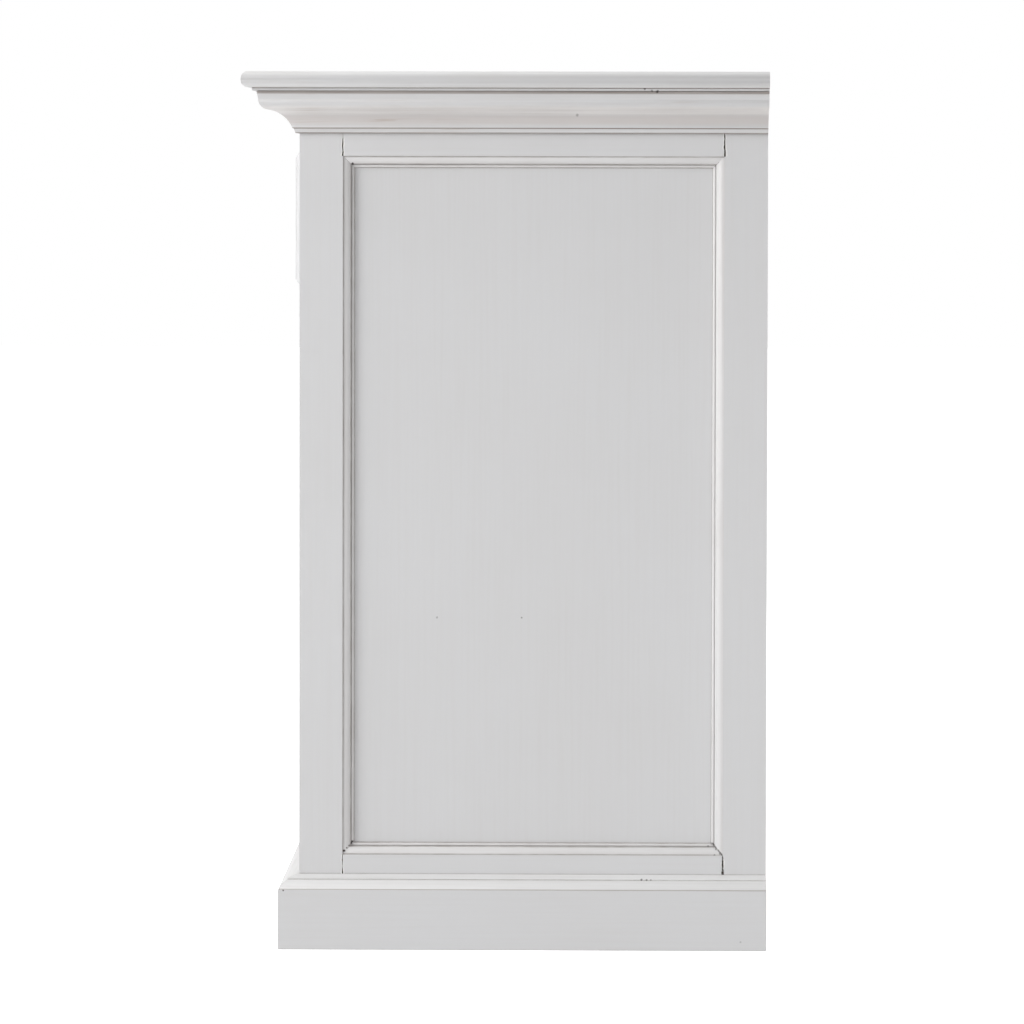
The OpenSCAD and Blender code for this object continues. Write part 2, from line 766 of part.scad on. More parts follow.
module back_panels() color(PLY) for (s = [-1, 0, 1])
  translate([
    back_bay_x(s) - back_bay_w(s) / 2 - groove_d + panel_room,
    back_y - rail_t / 2 - back_panel_t / 2,
    bottom_top - groove_d + panel_room
  ]) cube([
    back_bay_w(s) + 2 * (groove_d - panel_room), back_panel_t,
    top_rail_z - bottom_top + 2 * (groove_d - panel_room)
  ]);

// Shelves and small parts

// Inner ends of the space behind one door
function shelf_x0(bay) = (bay == -1) ? -post_x : (bay - 1) * bay_pitch + mullion_x + partition_t / 2;
function shelf_x1(bay) = (bay == 1) ? post_x : (bay + 1) * bay_pitch - mullion_x - partition_t / 2;

module shelves() color(TIMBER) for (bay = BAYS)
  translate([shelf_x0(bay) + shelf_gap, shelf_front_y, shelf_mid_z - shelf_t / 2])
    cube([shelf_x1(bay) - shelf_x0(bay) - 2 * shelf_gap, shelf_back_y - shelf_front_y, shelf_t]);

module shelf_pins() color(BRASS) for (bay = BAYS, y = [shelf_pin_y0, shelf_pin_y1], way = [-1, 1])
  translate([
    way < 0 ? shelf_x0(bay) - shelf_hole_d : shelf_x1(bay) + shelf_hole_d,
    y, shelf_mid_z - shelf_t / 2 - shelf_pin_r
  ]) rotate([0, -way * 90, 0]) cylinder(r = shelf_pin_r, h = shelf_pin_l, $fn = 24);

function door_x(i) = BAYS[i] * bay_pitch;
function hinge_x(i) = door_x(i) + HINGE_SIDE[i] * (door_w / 2 + pin_offset);
function free_stile_x(i) = door_x(i) - HINGE_SIDE[i] * (door_w - door_stile_w) / 2;
function catch_x(i) = free_stile_x(i);
function catch_y() = front_y + rail_t / 2;

module door_catches() color(BRASS) for (i = [0:2])
  translate([catch_x(i), catch_y(), mid_rail_z]) {
    cylinder(r = catch_r, h = catch_l, $fn = 32);
    translate([0, 0, ball_r - ball_out]) sphere(r = ball_r, $fn = 32);
  }

// A wooden button: its tongue goes into the rail, its body is under the top board
module top_button(x, y, turn) {
  translate([x, y, top_z - button_t]) rotate([0, 0, turn - 90]) {
    translate([-button_l, -button_w / 2, 0]) cube([button_l, button_w, button_t]);
    translate([-over, -button_w / 2, 0]) cube([tongue_d + over, button_w, tongue_t]);
  }
}

module top_buttons() color(TIMBER) {
  for (bay = BAYS) {
    top_button(bay * bay_pitch, frame_back_y, 0);
    top_button(bay * bay_pitch, back_frame_y, 180);
  }
  both_sides() top_button(rail_x, (front_y + back_y) / 2, 90);
}

// Hinges

// Height of the start of a knuckle on its leaf
function knuckle_z(i) = i * knuckle_h;

// One leaf of a butt hinge, with the pin line at the origin and the leaf on the side named
module hinge_leaf(side, first_knuckle) difference() {
  union() {
    for (i = [first_knuckle:2:knuckle_count - 1]) {
      low = knuckle_z(i) + (i == 0 ? 0 : leaf_clear);
      high = knuckle_z(i + 1) - (i == knuckle_count - 1 ? 0 : leaf_clear);
      translate([0, 0, low]) cylinder(r = knuckle_r, h = high - low, $fn = 48);
      translate([leaf_x(side), 0, low]) cube([leaf_t, pin_well_r + over, high - low]);
    }
    translate([leaf_x(side), pin_well_r, 0]) cube([leaf_t, leaf_d - pin_well_r, leaf_h]);
  }
  translate([0, 0, -over]) cylinder(r = hinge_pin_r + pin_clear, h = leaf_h + 2 * over, $fn = 32);
}

function leaf_x(side) = side > 0 ? leaf_clear : -leaf_clear - leaf_t;

module hinge_frame_leaves() color(BRASS) for (i = [0:2], z = HINGE_Z)
  translate([hinge_x(i), pin_line_y, z]) hinge_leaf(HINGE_SIDE[i], 0);

module door_hinges(i) color(BRASS) for (z = HINGE_Z)
  translate([hinge_x(i), pin_line_y, z]) hinge_leaf(-HINGE_SIDE[i], 1);

module hinge_pins() color(BRASS) for (i = [0:2], z = HINGE_Z)
  translate([hinge_x(i), pin_line_y, z]) {
    cylinder(r = hinge_pin_r, h = leaf_h, $fn = 32);
    for (end = [-pin_head_h, leaf_h]) translate([0, 0, end])
      cylinder(r = pin_head_r, h = pin_head_h, $fn = 32);
  }

// Ring pulls

// Round plate with the eye for the ring, on a face that looks towards the front
module pull_plate() difference() {
  union() {
    rotate([90, 0, 0]) rotate_extrude($fn = 96) {
      square([plate_r - plate_t / 2, plate_t]);
      square([plate_r, plate_t / 2]);
      translate([plate_r - plate_t / 2, plate_t / 2]) intersection() {
        circle(r = plate_t / 2, $fn = 24);
        square(plate_t);
      }
    }
    translate([-eye_w / 2, -ring_axis_out, 0]) rotate([0, 90, 0])
      cylinder(r = eye_r, h = eye_w, $fn = 48);
  }
  translate([-eye_w / 2 - over, -ring_axis_out, 0]) rotate([0, 90, 0])
    cylinder(r = eye_bore_r, h = eye_w + 2 * over, $fn = 32);
}

module pull_ring() translate([0, -ring_axis_out, -ring_r]) rotate([90, 0, 0])
  rotate_extrude($fn = 96) translate([ring_r, 0]) circle(r = wire_r, $fn = 32);

module drawer_plate(i) color(BRASS)
  translate([door_x(i), drawer_front_y, drawer_pull_z]) pull_plate();

module drawer_ring(i) color(BRASS)
  translate([door_x(i), drawer_front_y, drawer_pull_z]) pull_ring();

module door_plate(i) color(BRASS)
  translate([free_stile_x(i), front_y, door_pull_z]) pull_plate();

module door_ring(i) color(BRASS)
  translate([free_stile_x(i), front_y, door_pull_z]) pull_ring();

// Drawers

// Dovetails on the end of a drawer side: x is the way out of the end, y is up
module tails(length, grow = 0) {
  pitch = drawer_side_h / tail_count;
  root = pitch * tail_share;
  for (t = [0:tail_count - 1]) translate([0, (t + 0.5) * pitch])
    polygon([
      [0, -root / 2 - grow], [length, -root / 2 - tail_flare - grow],
      [length, root / 2 + tail_flare + grow], [0, root / 2 + grow]
    ]);
}

// A flat shape in the plane of a drawer side, given the thickness of that side
module in_side_plane(x, thickness = drawer_side_t) {
  translate([x, 0, drawer_bottom_z]) rotate([90, 0, 90])
    linear_extrude(height = thickness) children();
}

module drawer_side_solid(x) in_side_plane(x) {
  translate([drawer_side_y, 0]) square([drawer_side_l - drawer_side_t, drawer_side_h]);
  translate([drawer_side_y, 0]) mirror([1, 0, 0]) tails(drawer_lap);
  translate([drawer_back_y, 0]) tails(drawer_side_t);
}

module drawer_bottom_groove(i) {
  translate([
    door_x(i) - drawer_w / 2 + drawer_side_t - drawer_groove_d,
    drawer_side_y - drawer_groove_d, drawer_bottom_z + drawer_bottom_up
  ]) cube([
    drawer_w - 2 * (drawer_side_t - drawer_groove_d),
    drawer_side_l + 2 * drawer_groove_d, drawer_bottom_t + fit_clear
  ]);
}

// Section of a drawer front with its two moulded edges, x across and y towards the room
module moulded_section(width) {
  flat = width - 2 * drawer_edge_r;
  edge_z = drawer_front_t - drawer_edge_r - drawer_edge_step;
  translate([-width / 2, 0]) square([width, edge_z]);
  translate([-flat / 2, 0]) square([flat, drawer_front_t]);
  for (s = [-1, 1]) intersection() {
    translate([s * flat / 2, edge_z]) circle(r = drawer_edge_r, $fn = 48);
    square([width, 2 * (edge_z + drawer_edge_r)], center = true);
  }
}

module drawer_front(i) color(PAINT) difference() {
  height = drawer_open_h - 2 * drawer_gap;
  translate([door_x(i), drawer_side_y, drawer_z0 + drawer_gap]) intersection() {
    mirror([0, 1, 0]) linear_extrude(height = height) moulded_section(drawer_w);
    translate([0, 0, height / 2]) rotate([0, 90, 0]) mirror([0, 1, 0])
      linear_extrude(height = drawer_w, center = true) moulded_section(height);
  }
  for (x = [-drawer_w / 2, drawer_w / 2 - drawer_side_t])
    in_side_plane(door_x(i) + x) translate([drawer_side_y, 0]) mirror([1, 0, 0]) tails(drawer_lap);
  drawer_bottom_groove(i);
}

module drawer_box(i) color(TIMBER) {
  for (x = [-drawer_w / 2, drawer_w / 2 - drawer_side_t]) difference() {
    drawer_side_solid(door_x(i) + x);
    drawer_bottom_groove(i);
  }
  difference() {
    back_z = drawer_bottom_z + drawer_bottom_up + drawer_bottom_t + fit_clear;
    translate([door_x(i) - drawer_w / 2, drawer_back_y + joint_line, back_z])
      cube([drawer_w, drawer_side_t - joint_line, drawer_side_h + drawer_bottom_z - back_z]);
    for (x = [-drawer_w / 2 - joint_line, drawer_w / 2 - drawer_side_t - joint_line])
      in_side_plane(door_x(i) + x, drawer_side_t + 2 * joint_line)
        translate([drawer_back_y, 0]) tails(drawer_side_t, joint_line);
  }
}

module drawer_bottom(i) color(PLY)
  translate([
    door_x(i) - drawer_w / 2 + drawer_side_t - drawer_groove_d + panel_room,
    drawer_side_y - drawer_groove_d + panel_room, drawer_bottom_z + drawer_bottom_up
  ]) cube([
    drawer_w - 2 * (drawer_side_t - drawer_groove_d + panel_room),
    drawer_side_l + drawer_groove_d - panel_room, drawer_bottom_t
  ]);

// Doors

module door_panel_groove(i, room) {
  translate([
    door_x(i) - door_w / 2 + door_stile_w - groove_d + room,
    front_y + panel_recess, door_z0 + door_rail_h - groove_d + room
  ]) cube([
    door_w - 2 * (door_stile_w - groove_d + room),
    panel_t + (room > 0 ? 0 : fit_clear), door_h - 2 * (door_rail_h - groove_d + room)
  ]);
}

module door_tenons(grow = 0) for (z = [0, door_h - door_rail_h])
  tenon_bar(
    [door_stile_w, 0, z], [door_w - 2 * door_stile_w, rail_t, door_rail_h],
    [-door_tenon_l, tenon_side, tenon_shoulder], grow
  );

module door_frame(i) color(PAINT) difference() {
  translate([door_x(i) - door_w / 2, front_y, door_z0]) {
    difference() {
      for (x = [0, door_w - door_stile_w]) translate([x, 0, 0]) cube([door_stile_w, rail_t, door_h]);
      door_tenons(fit_clear);
    }
    for (z = [0, door_h - door_rail_h]) translate([door_stile_w + joint_line, 0, z])
      cube([door_w - 2 * (door_stile_w + joint_line), rail_t, door_rail_h]);
    door_tenons();
  }
  door_panel_groove(i, 0);
  translate([hinge_x(i), pin_line_y, 0]) hinge_well(-HINGE_SIDE[i]);
}

module door_panel(i) color(PAINT) door_panel_groove(i, panel_room);

module door_moulding(i) color(PAINT)
  translate([door_x(i), front_y + panel_recess, (door_z0 + door_z1) / 2]) rotate([90, 0, 0])
    sticking_frame(door_w - 2 * door_stile_w, door_h - 2 * door_rail_h);

top_board();
crown_moulding();
bed_moulding();
front_posts();
rear_posts();
side_rails();
side_panels();
side_mouldings();
face_rails();
mid_rails();
mullions();
partitions();
bottom_board();
drawer_runners();
drawer_kickers();
shelves();
shelf_pins();
back_rails();
back_muntins();
back_panels();
plinth_front();
plinth_sides();
plinth_capping();
hinge_frame_leaves();
hinge_pins();
door_catches();
top_buttons();
drawer_front(0);  // drawer_front_left
drawer_front(1);  // drawer_front_middle
drawer_front(2);  // drawer_front_right
drawer_box(0);  // drawer_box_left
drawer_box(1);  // drawer_box_middle
drawer_box(2);  // drawer_box_right
drawer_bottom(0);  // drawer_bottom_left
drawer_bottom(1);  // drawer_bottom_middle
drawer_bottom(2);  // drawer_bottom_right
drawer_plate(0);  // drawer_plate_left
drawer_plate(1);  // drawer_plate_middle
drawer_plate(2);  // drawer_plate_right
drawer_ring(0);  // drawer_ring_left
drawer_ring(1);  // drawer_ring_middle
drawer_ring(2);  // drawer_ring_right
door_frame(0);  // door_frame_left
door_frame(1);  // door_frame_middle
door_frame(2);  // door_frame_right
door_panel(0);  // door_panel_left
door_panel(1);  // door_panel_middle
door_panel(2);  // door_panel_right
door_moulding(0);  // door_moulding_left
door_moulding(1);  // door_moulding_middle
door_moulding(2);  // door_moulding_right
door_hinges(0);  // door_hinges_left
door_hinges(1);  // door_hinges_middle
door_hinges(2);  // door_hinges_right
door_plate(0);  // door_plate_left
door_plate(1);  // door_plate_middle
door_plate(2);  // door_plate_right
door_ring(0);  // door_ring_left
door_ring(1);  // door_ring_middle
door_ring(2);  // door_ring_right
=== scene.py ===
import math

import bmesh
import bpy
from mathutils import Matrix, Quaternion, Vector


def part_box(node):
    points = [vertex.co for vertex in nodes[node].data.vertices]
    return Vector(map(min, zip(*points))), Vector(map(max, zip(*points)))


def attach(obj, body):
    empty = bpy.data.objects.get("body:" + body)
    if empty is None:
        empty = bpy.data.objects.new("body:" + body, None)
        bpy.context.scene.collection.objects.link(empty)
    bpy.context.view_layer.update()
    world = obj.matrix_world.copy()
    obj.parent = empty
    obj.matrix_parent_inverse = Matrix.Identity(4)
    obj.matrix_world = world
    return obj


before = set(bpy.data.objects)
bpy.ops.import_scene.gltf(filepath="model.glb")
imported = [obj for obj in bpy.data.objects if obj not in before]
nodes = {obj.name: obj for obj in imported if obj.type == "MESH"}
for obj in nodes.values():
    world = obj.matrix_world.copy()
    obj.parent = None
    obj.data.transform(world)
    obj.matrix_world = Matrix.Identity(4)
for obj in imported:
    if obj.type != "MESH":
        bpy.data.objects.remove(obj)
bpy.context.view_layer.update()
print("stage: frame loaded,", len(nodes), "CAD pieces")

mm = 0.001
xAxis, yAxis, zAxis = 0, 1, 2
sides = ("left", "middle", "right")

# The camera looks almost squarely at the right end of the cabinet from a little below its cornice, so
# the cornice and the front of the plinth are seen as clean sections

cameraView = {
    "place": (6.171, 0.0845, 0.74),  # metres
    "target": (0.671, 0.0063, 0.5639),  # metres
    "lens": 199.43,  # mm
    "sensor": 36,  # mm wide
    "shift": -0.14,  # the rest of the height comes from tilting down by 1.8 degrees
    "roll": 0.103,  # degrees, the small tilt of the photograph
    "near": 0.05,  # metres
    "far": 60,  # metres
}


def makeCamera(v):
    bpy.ops.object.camera_add(location=v["place"])
    camera = bpy.context.object
    camera.name = "photoCamera"
    camera.data.lens = v["lens"]
    camera.data.sensor_width = v["sensor"]
    camera.data.shift_y = v["shift"]
    camera.data.clip_start = v["near"]
    camera.data.clip_end = v["far"]
    look = Vector(v["target"]) - Vector(v["place"])
    camera.rotation_mode = "QUATERNION"
    roll = Quaternion((0, 0, 1), math.radians(v["roll"]))
    camera.rotation_quaternion = look.to_track_quat("-Z", "Y") @ roll
    bpy.context.scene.camera = camera


makeCamera(cameraView)


def linearColour(hexText):
    channels = [int(hexText[i:i + 2], 16) / 255 for i in (1, 3, 5)]
    return [c / 12.92 if c <= 0.04045 else ((c + 0.055) / 1.055) ** 2.4 for c in channels] + [1.0]


# Adds one node. Inputs are given by name or number, and a socket among them makes a link. By number, a
# Map Range has its value at 0, the bounds that it comes from at 1 and 2 and those that it goes to at 3
# and 4, which are 0 and 1 if left out. A Mix has its share at 0, vectors at 4 and 5, colours at 6 and 7
def addNode(tree, kind, inputs=None, **settings):
    node = tree.nodes.new("ShaderNode" + kind)
    for name, value in settings.items():
        setattr(node, name, value)
    for name, value in (inputs or {}).items():
        if isinstance(value, bpy.types.NodeSocket):
            tree.links.new(value, node.inputs[name])
        else:
            node.inputs[name].default_value = value
    return node


def newMaterial(name):
    material = bpy.data.materials.new(name)
    material.use_nodes = True
    material.node_tree.nodes.clear()
    return material


# Light: a soft key and a broad lamp in front, a wide one overhead whose light the pale floor sends back
# up, a small low one that lifts the plinth, and a fill at the left, so that no side is left dark. Places
# and sizes are in metres and powers in watts

light = {
    "room": "#ffffff",
    "roomStrength": 0.37,
    "lamp": "#ffffff",
    "key": {"place": (2.5, -2.7, 1.7), "aim": (0.65, 0, 0.5), "size": 1.3, "power": 57},
    "front": {"place": (0.9, -3.4, 1.2), "aim": (0.4, 0, 0.4), "size": 1.8, "power": 17},
    "over": {"place": (0.5, 0.3, 3.6), "aim": (0.5, 0.3, 0), "size": 3.4, "power": 36},
    "low": {"place": (1.55, 1.0, 0.1), "aim": (0.69, 0.25, 0.12), "size": 0.6, "power": 2.2},
    "fill": {"place": (-3.2, 1.6, 0.9), "aim": (-0.6, 0.1, 0.4), "size": 1.8, "power": 27},
}


def makeLamp(name, v, colour):
    bpy.ops.object.light_add(type="AREA", location=v["place"])
    lamp = bpy.context.object
    lamp.name = name
    lamp.data.shape = "SQUARE"
    lamp.data.size = v["size"]
    lamp.data.energy = v["power"]
    lamp.data.color = linearColour(colour)[:3]
    lamp.rotation_mode = "QUATERNION"
    lamp.rotation_quaternion = (Vector(v["aim"]) - Vector(v["place"])).to_track_quat("-Z", "Y")
    lamp.visible_camera = False


# Light Path's rays that show the background: seen directly, in gloss, or through glass
def backgroundRays(tree):
    path = addNode(tree, "LightPath").outputs
    direct = addNode(tree, "Math", {0: path["Is Camera Ray"], 1: path["Is Glossy Ray"]}, operation="MAXIMUM")
    through = path["Is Transmission Ray"]
    return addNode(tree, "Math", {0: direct.outputs[0], 1: through}, operation="MAXIMUM").outputs[0]


def makeWorld(v):
    world = bpy.data.worlds.new("whiteStudio")
    bpy.context.scene.world = world
    world.use_nodes = True
    tree = world.node_tree
    tree.nodes.clear()
    room = addNode(tree, "Background", {"Color": linearColour(v["room"]), "Strength": v["roomStrength"]})
    seen = addNode(tree, "Background", {"Color": (1, 1, 1, 1), "Strength": 1.0})
    pick = addNode(tree, "MixShader", {0: backgroundRays(tree), 1: room.outputs[0], 2: seen.outputs[0]})
    addNode(tree, "OutputWorld", {"Surface": pick.outputs[0]})


for lampName in ("key", "front", "over", "low", "fill"):
    makeLamp(lampName + "Softbox", light[lampName], light["lamp"])
makeWorld(light)

# Matt white studio floor. Seen by the camera it glows a little, so it reaches white and only the
# darkest part of the object's shadow stays

floorLook = {
    "size": 40,  # metres
    "colour": "#f0f0f0",
    "glow": 0.85,
}


def makeFloor(v):
    bpy.ops.mesh.primitive_plane_add(size=v["size"], location=(0, 0, 0))
    floor = bpy.context.object
    floor.name = "paleFloor"
    material = newMaterial("mattWhiteFloor")
    tree = material.node_tree
    plain = addNode(tree, "BsdfDiffuse", {"Color": linearColour(v["colour"])})
    glow = addNode(tree, "Emission", {"Color": (1, 1, 1, 1), "Strength": v["glow"]})
    bright = addNode(tree, "AddShader", {0: plain.outputs[0], 1: glow.outputs[0]})
    pick = addNode(tree, "MixShader", {0: backgroundRays(tree), 1: plain.outputs[0], 2: bright.outputs[0]})
    addNode(tree, "OutputMaterial", {"Surface": pick.outputs[0]})
    floor.data.materials.append(material)


makeFloor(floorLook)
print("stage: camera, light and floor made")

# Where the boards of the cabinet meet, from the CAD pieces themselves

boards = {
    "tenon": 22,  # mm, at each end of the face frame's rails
    "topEnd": 12,  # mm, the stretch at each end of the top board where its coat shows streaks along the end
    "drawerBack": 12,  # mm thick
}


def middleAndHalf(name):
    low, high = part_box(name)
    return (low + high) / 2, (high - low) / 2


bodyLow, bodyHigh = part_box("front_posts")
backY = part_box("rear_posts")[1].y
sideX, frontY = bodyHigh.x, bodyLow.y
sideOpening = middleAndHalf("side_mouldings")
railX = middleAndHalf("face_rails")[1].x - boards["tenon"] * mm
topX = middleAndHalf("top_board")[1].x - boards["topEnd"] * mm
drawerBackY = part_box("drawer_box_middle")[1].y - boards["drawerBack"] * mm

# How the grain runs where boards join. Past is how far a point lies outside the half sizes from the
# middle, along one axis. Where past "over" less past "from" is above nought the grain follows the axis
# "inside", and elsewhere "outside", and the line between the two is a joint. None stands for nought


def frameJoints(middle, half, across, mitred):
    return {
        "middle": tuple(middle), "half": tuple(half), "over": zAxis if mitred else None, "from": across,
        "inside": across, "outside": zAxis,
    }


mitredRun = {
    "middle": (0, backY, 0), "half": (sideX, backY - frontY, 0),
    "over": yAxis, "from": xAxis, "inside": xAxis, "outside": yAxis,
}
topRun = {
    "middle": (0, 0, 0), "half": (topX, 0, 0),
    "over": None, "from": xAxis, "inside": xAxis, "outside": yAxis,
}
faceJoints = {
    "middle": (0, 0, 0), "half": (railX, 0, 0),
    "over": None, "from": xAxis, "inside": xAxis, "outside": xAxis,
}
sideJoints = frameJoints(*sideOpening, yAxis, False)
sideMitres = frameJoints(*sideOpening, yAxis, True)

noiseLow, noiseHigh = 0.3, 0.7  # nearly all of a noise pattern lies between these levels
cornerRays = 8  # rays that each point sends out to find how closed in it is

# Satin paint, sprayed and brushed over closed-grain hardwood. The eye sees an even off-white with a
# soft sheen, faint warm streaks where the grain lies near the surface, and brown dust in the joints,
# mixed with painted shade in inside corners and along the mouldings. Some coats also carry bands of
# painted highlight and shade, and a painted highlight beside open joints.
# Starts and full are the levels of a pattern's noise at which it begins to show and shows most

paint = {
    "colour": "#dcdcdd",
    "streak": "#d2cfcd",  # where the coat is thin over the grain
    "dustShade": "#7d6f66",  # dust, and painted shade, in inside corners and in lines round the mouldings
    "crack": "#2c221c",  # in open joints
    "highlight": "#f3f2f0",  # painted highlight along an open joint, where the arrises beside it catch the light
    "figure": "#b3a294",  # bare grain where the coat is rubbed
    "roughness": 0.45,
    "smoother": 0.04,  # less roughness where the coat is thick
    "duller": 0.06,  # more roughness where it is thin
    "ior": 1.47,
    "streakWidth": 3.2,  # mm
    "streakLength": 150,  # mm
    "streakStarts": 0.42,
    "streakFull": 0.72,
    "streakShow": 0.5,
    "brushWidth": 0.9,  # mm, coarser than real bristle marks so that they show
    "brushLength": 60,  # mm
    "brushDepth": 0.006,  # mm
    "cloud": 140,  # mm, slow changes of the coat
    "cloudStarts": 0.35,
    "cloudFull": 0.7,
    "cloudShow": 0.25,
    "dustShadeReach": 1.8,  # mm
    "dustShadeStarts": 0.8,  # openness of a corner
    "dustShadeFull": 0.5,
    "dustShadePatch": 14.3,  # mm, how soon the dust and painted shade thin
    "dustShadeLeast": 0.6,  # share of it that stays where it is thinnest
    "dustShadeShow": 0.55,
    "rubStarts": 0.52,
    "rubFull": 0.62,
    "figureDensity": 1.6,  # lines of bare grain for each streak
    "figureBend": 1.2,
    "figureStarts": 0.56,
    "figureFull": 0.68,
    "figureShow": 0.0,
    "crackWidth": 1.2,  # mm
    "crackLength": 8,  # mm, how soon a crack changes its way
    "crackPace": 0.7,  # how often its width changes, against its way
    "crackWander": 1.6,  # mm
    "crackOpen": 0.45,  # on average, where 1 is the full width and below nought a joint is mostly shut
    "crackEdge": 0.25,  # softness of its edge, in widths
    "highlightWidth": 2.6,  # in widths of the crack
    "seams": (),  # lines of painted shade round an opening, in the dust colour: distance past its edge and half width in mm
    "seamCore": 0.4,  # share of the half width that is full
    "seamPatch": 16.7,  # mm, how soon a line thins
    "seamStarts": 0.35,
    "seamFull": 0.65,
    "seamLeast": 0.6,  # share of it that stays where it is thinnest
    "seamShow": 0.55,
    "paintedLightBands": (),  # height and half width in mm of a band of painted highlight or painted shade, and its colour
    "bandCore": 0.3,  # share of the half width that is full
    "marks": (),  # places of small dents in mm, with their radius and how dark they are
    "markDepth": 0.12,  # share of the depth by which they are placed
    "markCore": 0.2,  # share of the radius that is full
    "markTear": 2,  # mm between the notches of its edge
    "tearStarts": 0.12,
    "tearFull": 0.4,
}


def stretchedCoords(tree, coords, axis, width, length):
    scale = [1 / (width * mm)] * 3
    scale[axis] = 1 / (length * mm)
    return addNode(tree, "Mapping", {"Vector": coords, "Scale": scale}).outputs[0]


# Coordinates stretched along the grain, which turns at a joint
def grainCoords(tree, coords, grain, width, length):
    if isinstance(grain, int):
        return stretchedCoords(tree, coords, grain, width, length)
    inside = stretchedCoords(tree, coords, grain["inside"], width, length)
    outside = stretchedCoords(tree, coords, grain["outside"], width, length)
    side = addNode(tree, "Math", {0: jointDistance(tree, coords, grain), 1: 0.0}, operation="GREATER_THAN")
    return addNode(tree, "Mix", {0: side.outputs[0], 4: outside, 5: inside}, data_type="VECTOR").outputs[1]


def pastHalf(tree, coords, grain):
    away = addNode(tree, "VectorMath", {0: coords, 1: grain["middle"]}, operation="SUBTRACT").outputs[0]
    size = addNode(tree, "VectorMath", {0: away}, operation="ABSOLUTE").outputs[0]
    past = addNode(tree, "VectorMath", {0: size, 1: grain["half"]}, operation="SUBTRACT").outputs[0]
    return addNode(tree, "SeparateXYZ", {0: past}).outputs


def jointDistance(tree, coords, grain):
    past = pastHalf(tree, coords, grain)
    over = 0.0 if grain["over"] is None else past[grain["over"]]
    return addNode(tree, "Math", {0: over, 1: past[grain["from"]]}, operation="SUBTRACT").outputs[0]


# How open a joint is at each point, as a crack of changing width, and the painted highlight beside it
def openJoints(tree, coords, grain, v):
    density = 1 / (v["crackLength"] * mm)
    wander = addNode(tree, "TexNoise", {"Vector": coords, "Scale": density, "Detail": 3.0}).outputs[0]
    sway = addNode(tree, "Math", {0: wander, 1: 0.5}, operation="SUBTRACT").outputs[0]
    drift = addNode(tree, "Math", {0: sway, 1: v["crackWander"] * mm}, operation="MULTIPLY").outputs[0]
    straight = jointDistance(tree, coords, grain)
    bent = addNode(tree, "Math", {0: straight, 1: drift}, operation="ADD").outputs[0]
    distance = addNode(tree, "Math", {0: bent}, operation="ABSOLUTE").outputs[0]
    slower = addNode(tree, "TexNoise", {
        "Vector": coords, "Scale": v["crackPace"] * density, "Detail": 2.0,
    }).outputs[0]
    gape = addNode(tree, "MapRange", {
        0: slower, 1: noiseLow, 2: noiseHigh, 3: v["crackOpen"] - 0.5, 4: v["crackOpen"] + 0.5,
    }, clamp=False).outputs[0]
    beyond = 1.0
    if grain["over"] is None:
        # A butt joint lies only past the opening, at the ends of the rails
        past = pastHalf(tree, coords, grain)[zAxis]
        beyond = addNode(tree, "Math", {0: past, 1: 0.0}, operation="GREATER_THAN").outputs[0]
    shown = []
    for width in (v["crackWidth"], v["highlightWidth"] * v["crackWidth"]):
        edge = addNode(tree, "Math", {0: distance, 1: width * mm}, operation="DIVIDE").outputs[0]
        deep = addNode(tree, "Math", {0: gape, 1: edge}, operation="SUBTRACT").outputs[0]
        level = addNode(tree, "MapRange", {0: deep, 1: 0.0, 2: v["crackEdge"]}).outputs[0]
        shown.append(addNode(tree, "Math", {0: level, 1: beyond}, operation="MULTIPLY").outputs[0])
    return shown


# Painted shade: dark lines along the rails' mouldings and those of one side, where the frame's edge and
# the bead cast shade, since the light washes out the other
def dustShadeSeams(tree, coords, grain, v):
    across = grain["from"]
    past = pastHalf(tree, coords, grain)
    rim = addNode(tree, "Math", {0: past[across], 1: past[zAxis]}, operation="MAXIMUM").outputs[0]
    joint = jointDistance(tree, coords, grain)
    rails = addNode(tree, "Math", {0: joint, 1: 0.0}, operation="GREATER_THAN").outputs[0]
    place = addNode(tree, "SeparateXYZ", {0: coords}).outputs[across]
    side = addNode(tree, "Math", {0: place, 1: grain["middle"][across]}, operation="LESS_THAN").outputs[0]
    where = addNode(tree, "Math", {0: rails, 1: side}, operation="MAXIMUM").outputs[0]
    density = 1 / (v["seamPatch"] * mm)
    uneven = addNode(tree, "TexNoise", {"Vector": coords, "Scale": density, "Detail": 2.0}).outputs[0]
    most = addNode(tree, "MapRange", {
        0: uneven, 1: v["seamStarts"], 2: v["seamFull"], 3: v["seamLeast"] * v["seamShow"], 4: v["seamShow"],
    }).outputs[0]
    shown = addNode(tree, "Math", {0: where, 1: most}, operation="MULTIPLY").outputs[0]
    lines = 0.0
    for out, half in v["seams"]:
        away = addNode(tree, "Math", {0: rim, 1: -out * mm}, operation="ADD").outputs[0]
        size = addNode(tree, "Math", {0: away}, operation="ABSOLUTE").outputs[0]
        line = addNode(tree, "MapRange", {0: size, 1: half * mm, 2: v["seamCore"] * half * mm}).outputs[0]
        lines = addNode(tree, "Math", {0: lines, 1: line}, operation="MAXIMUM").outputs[0]
    return addNode(tree, "Math", {0: lines, 1: shown}, operation="MULTIPLY").outputs[0]


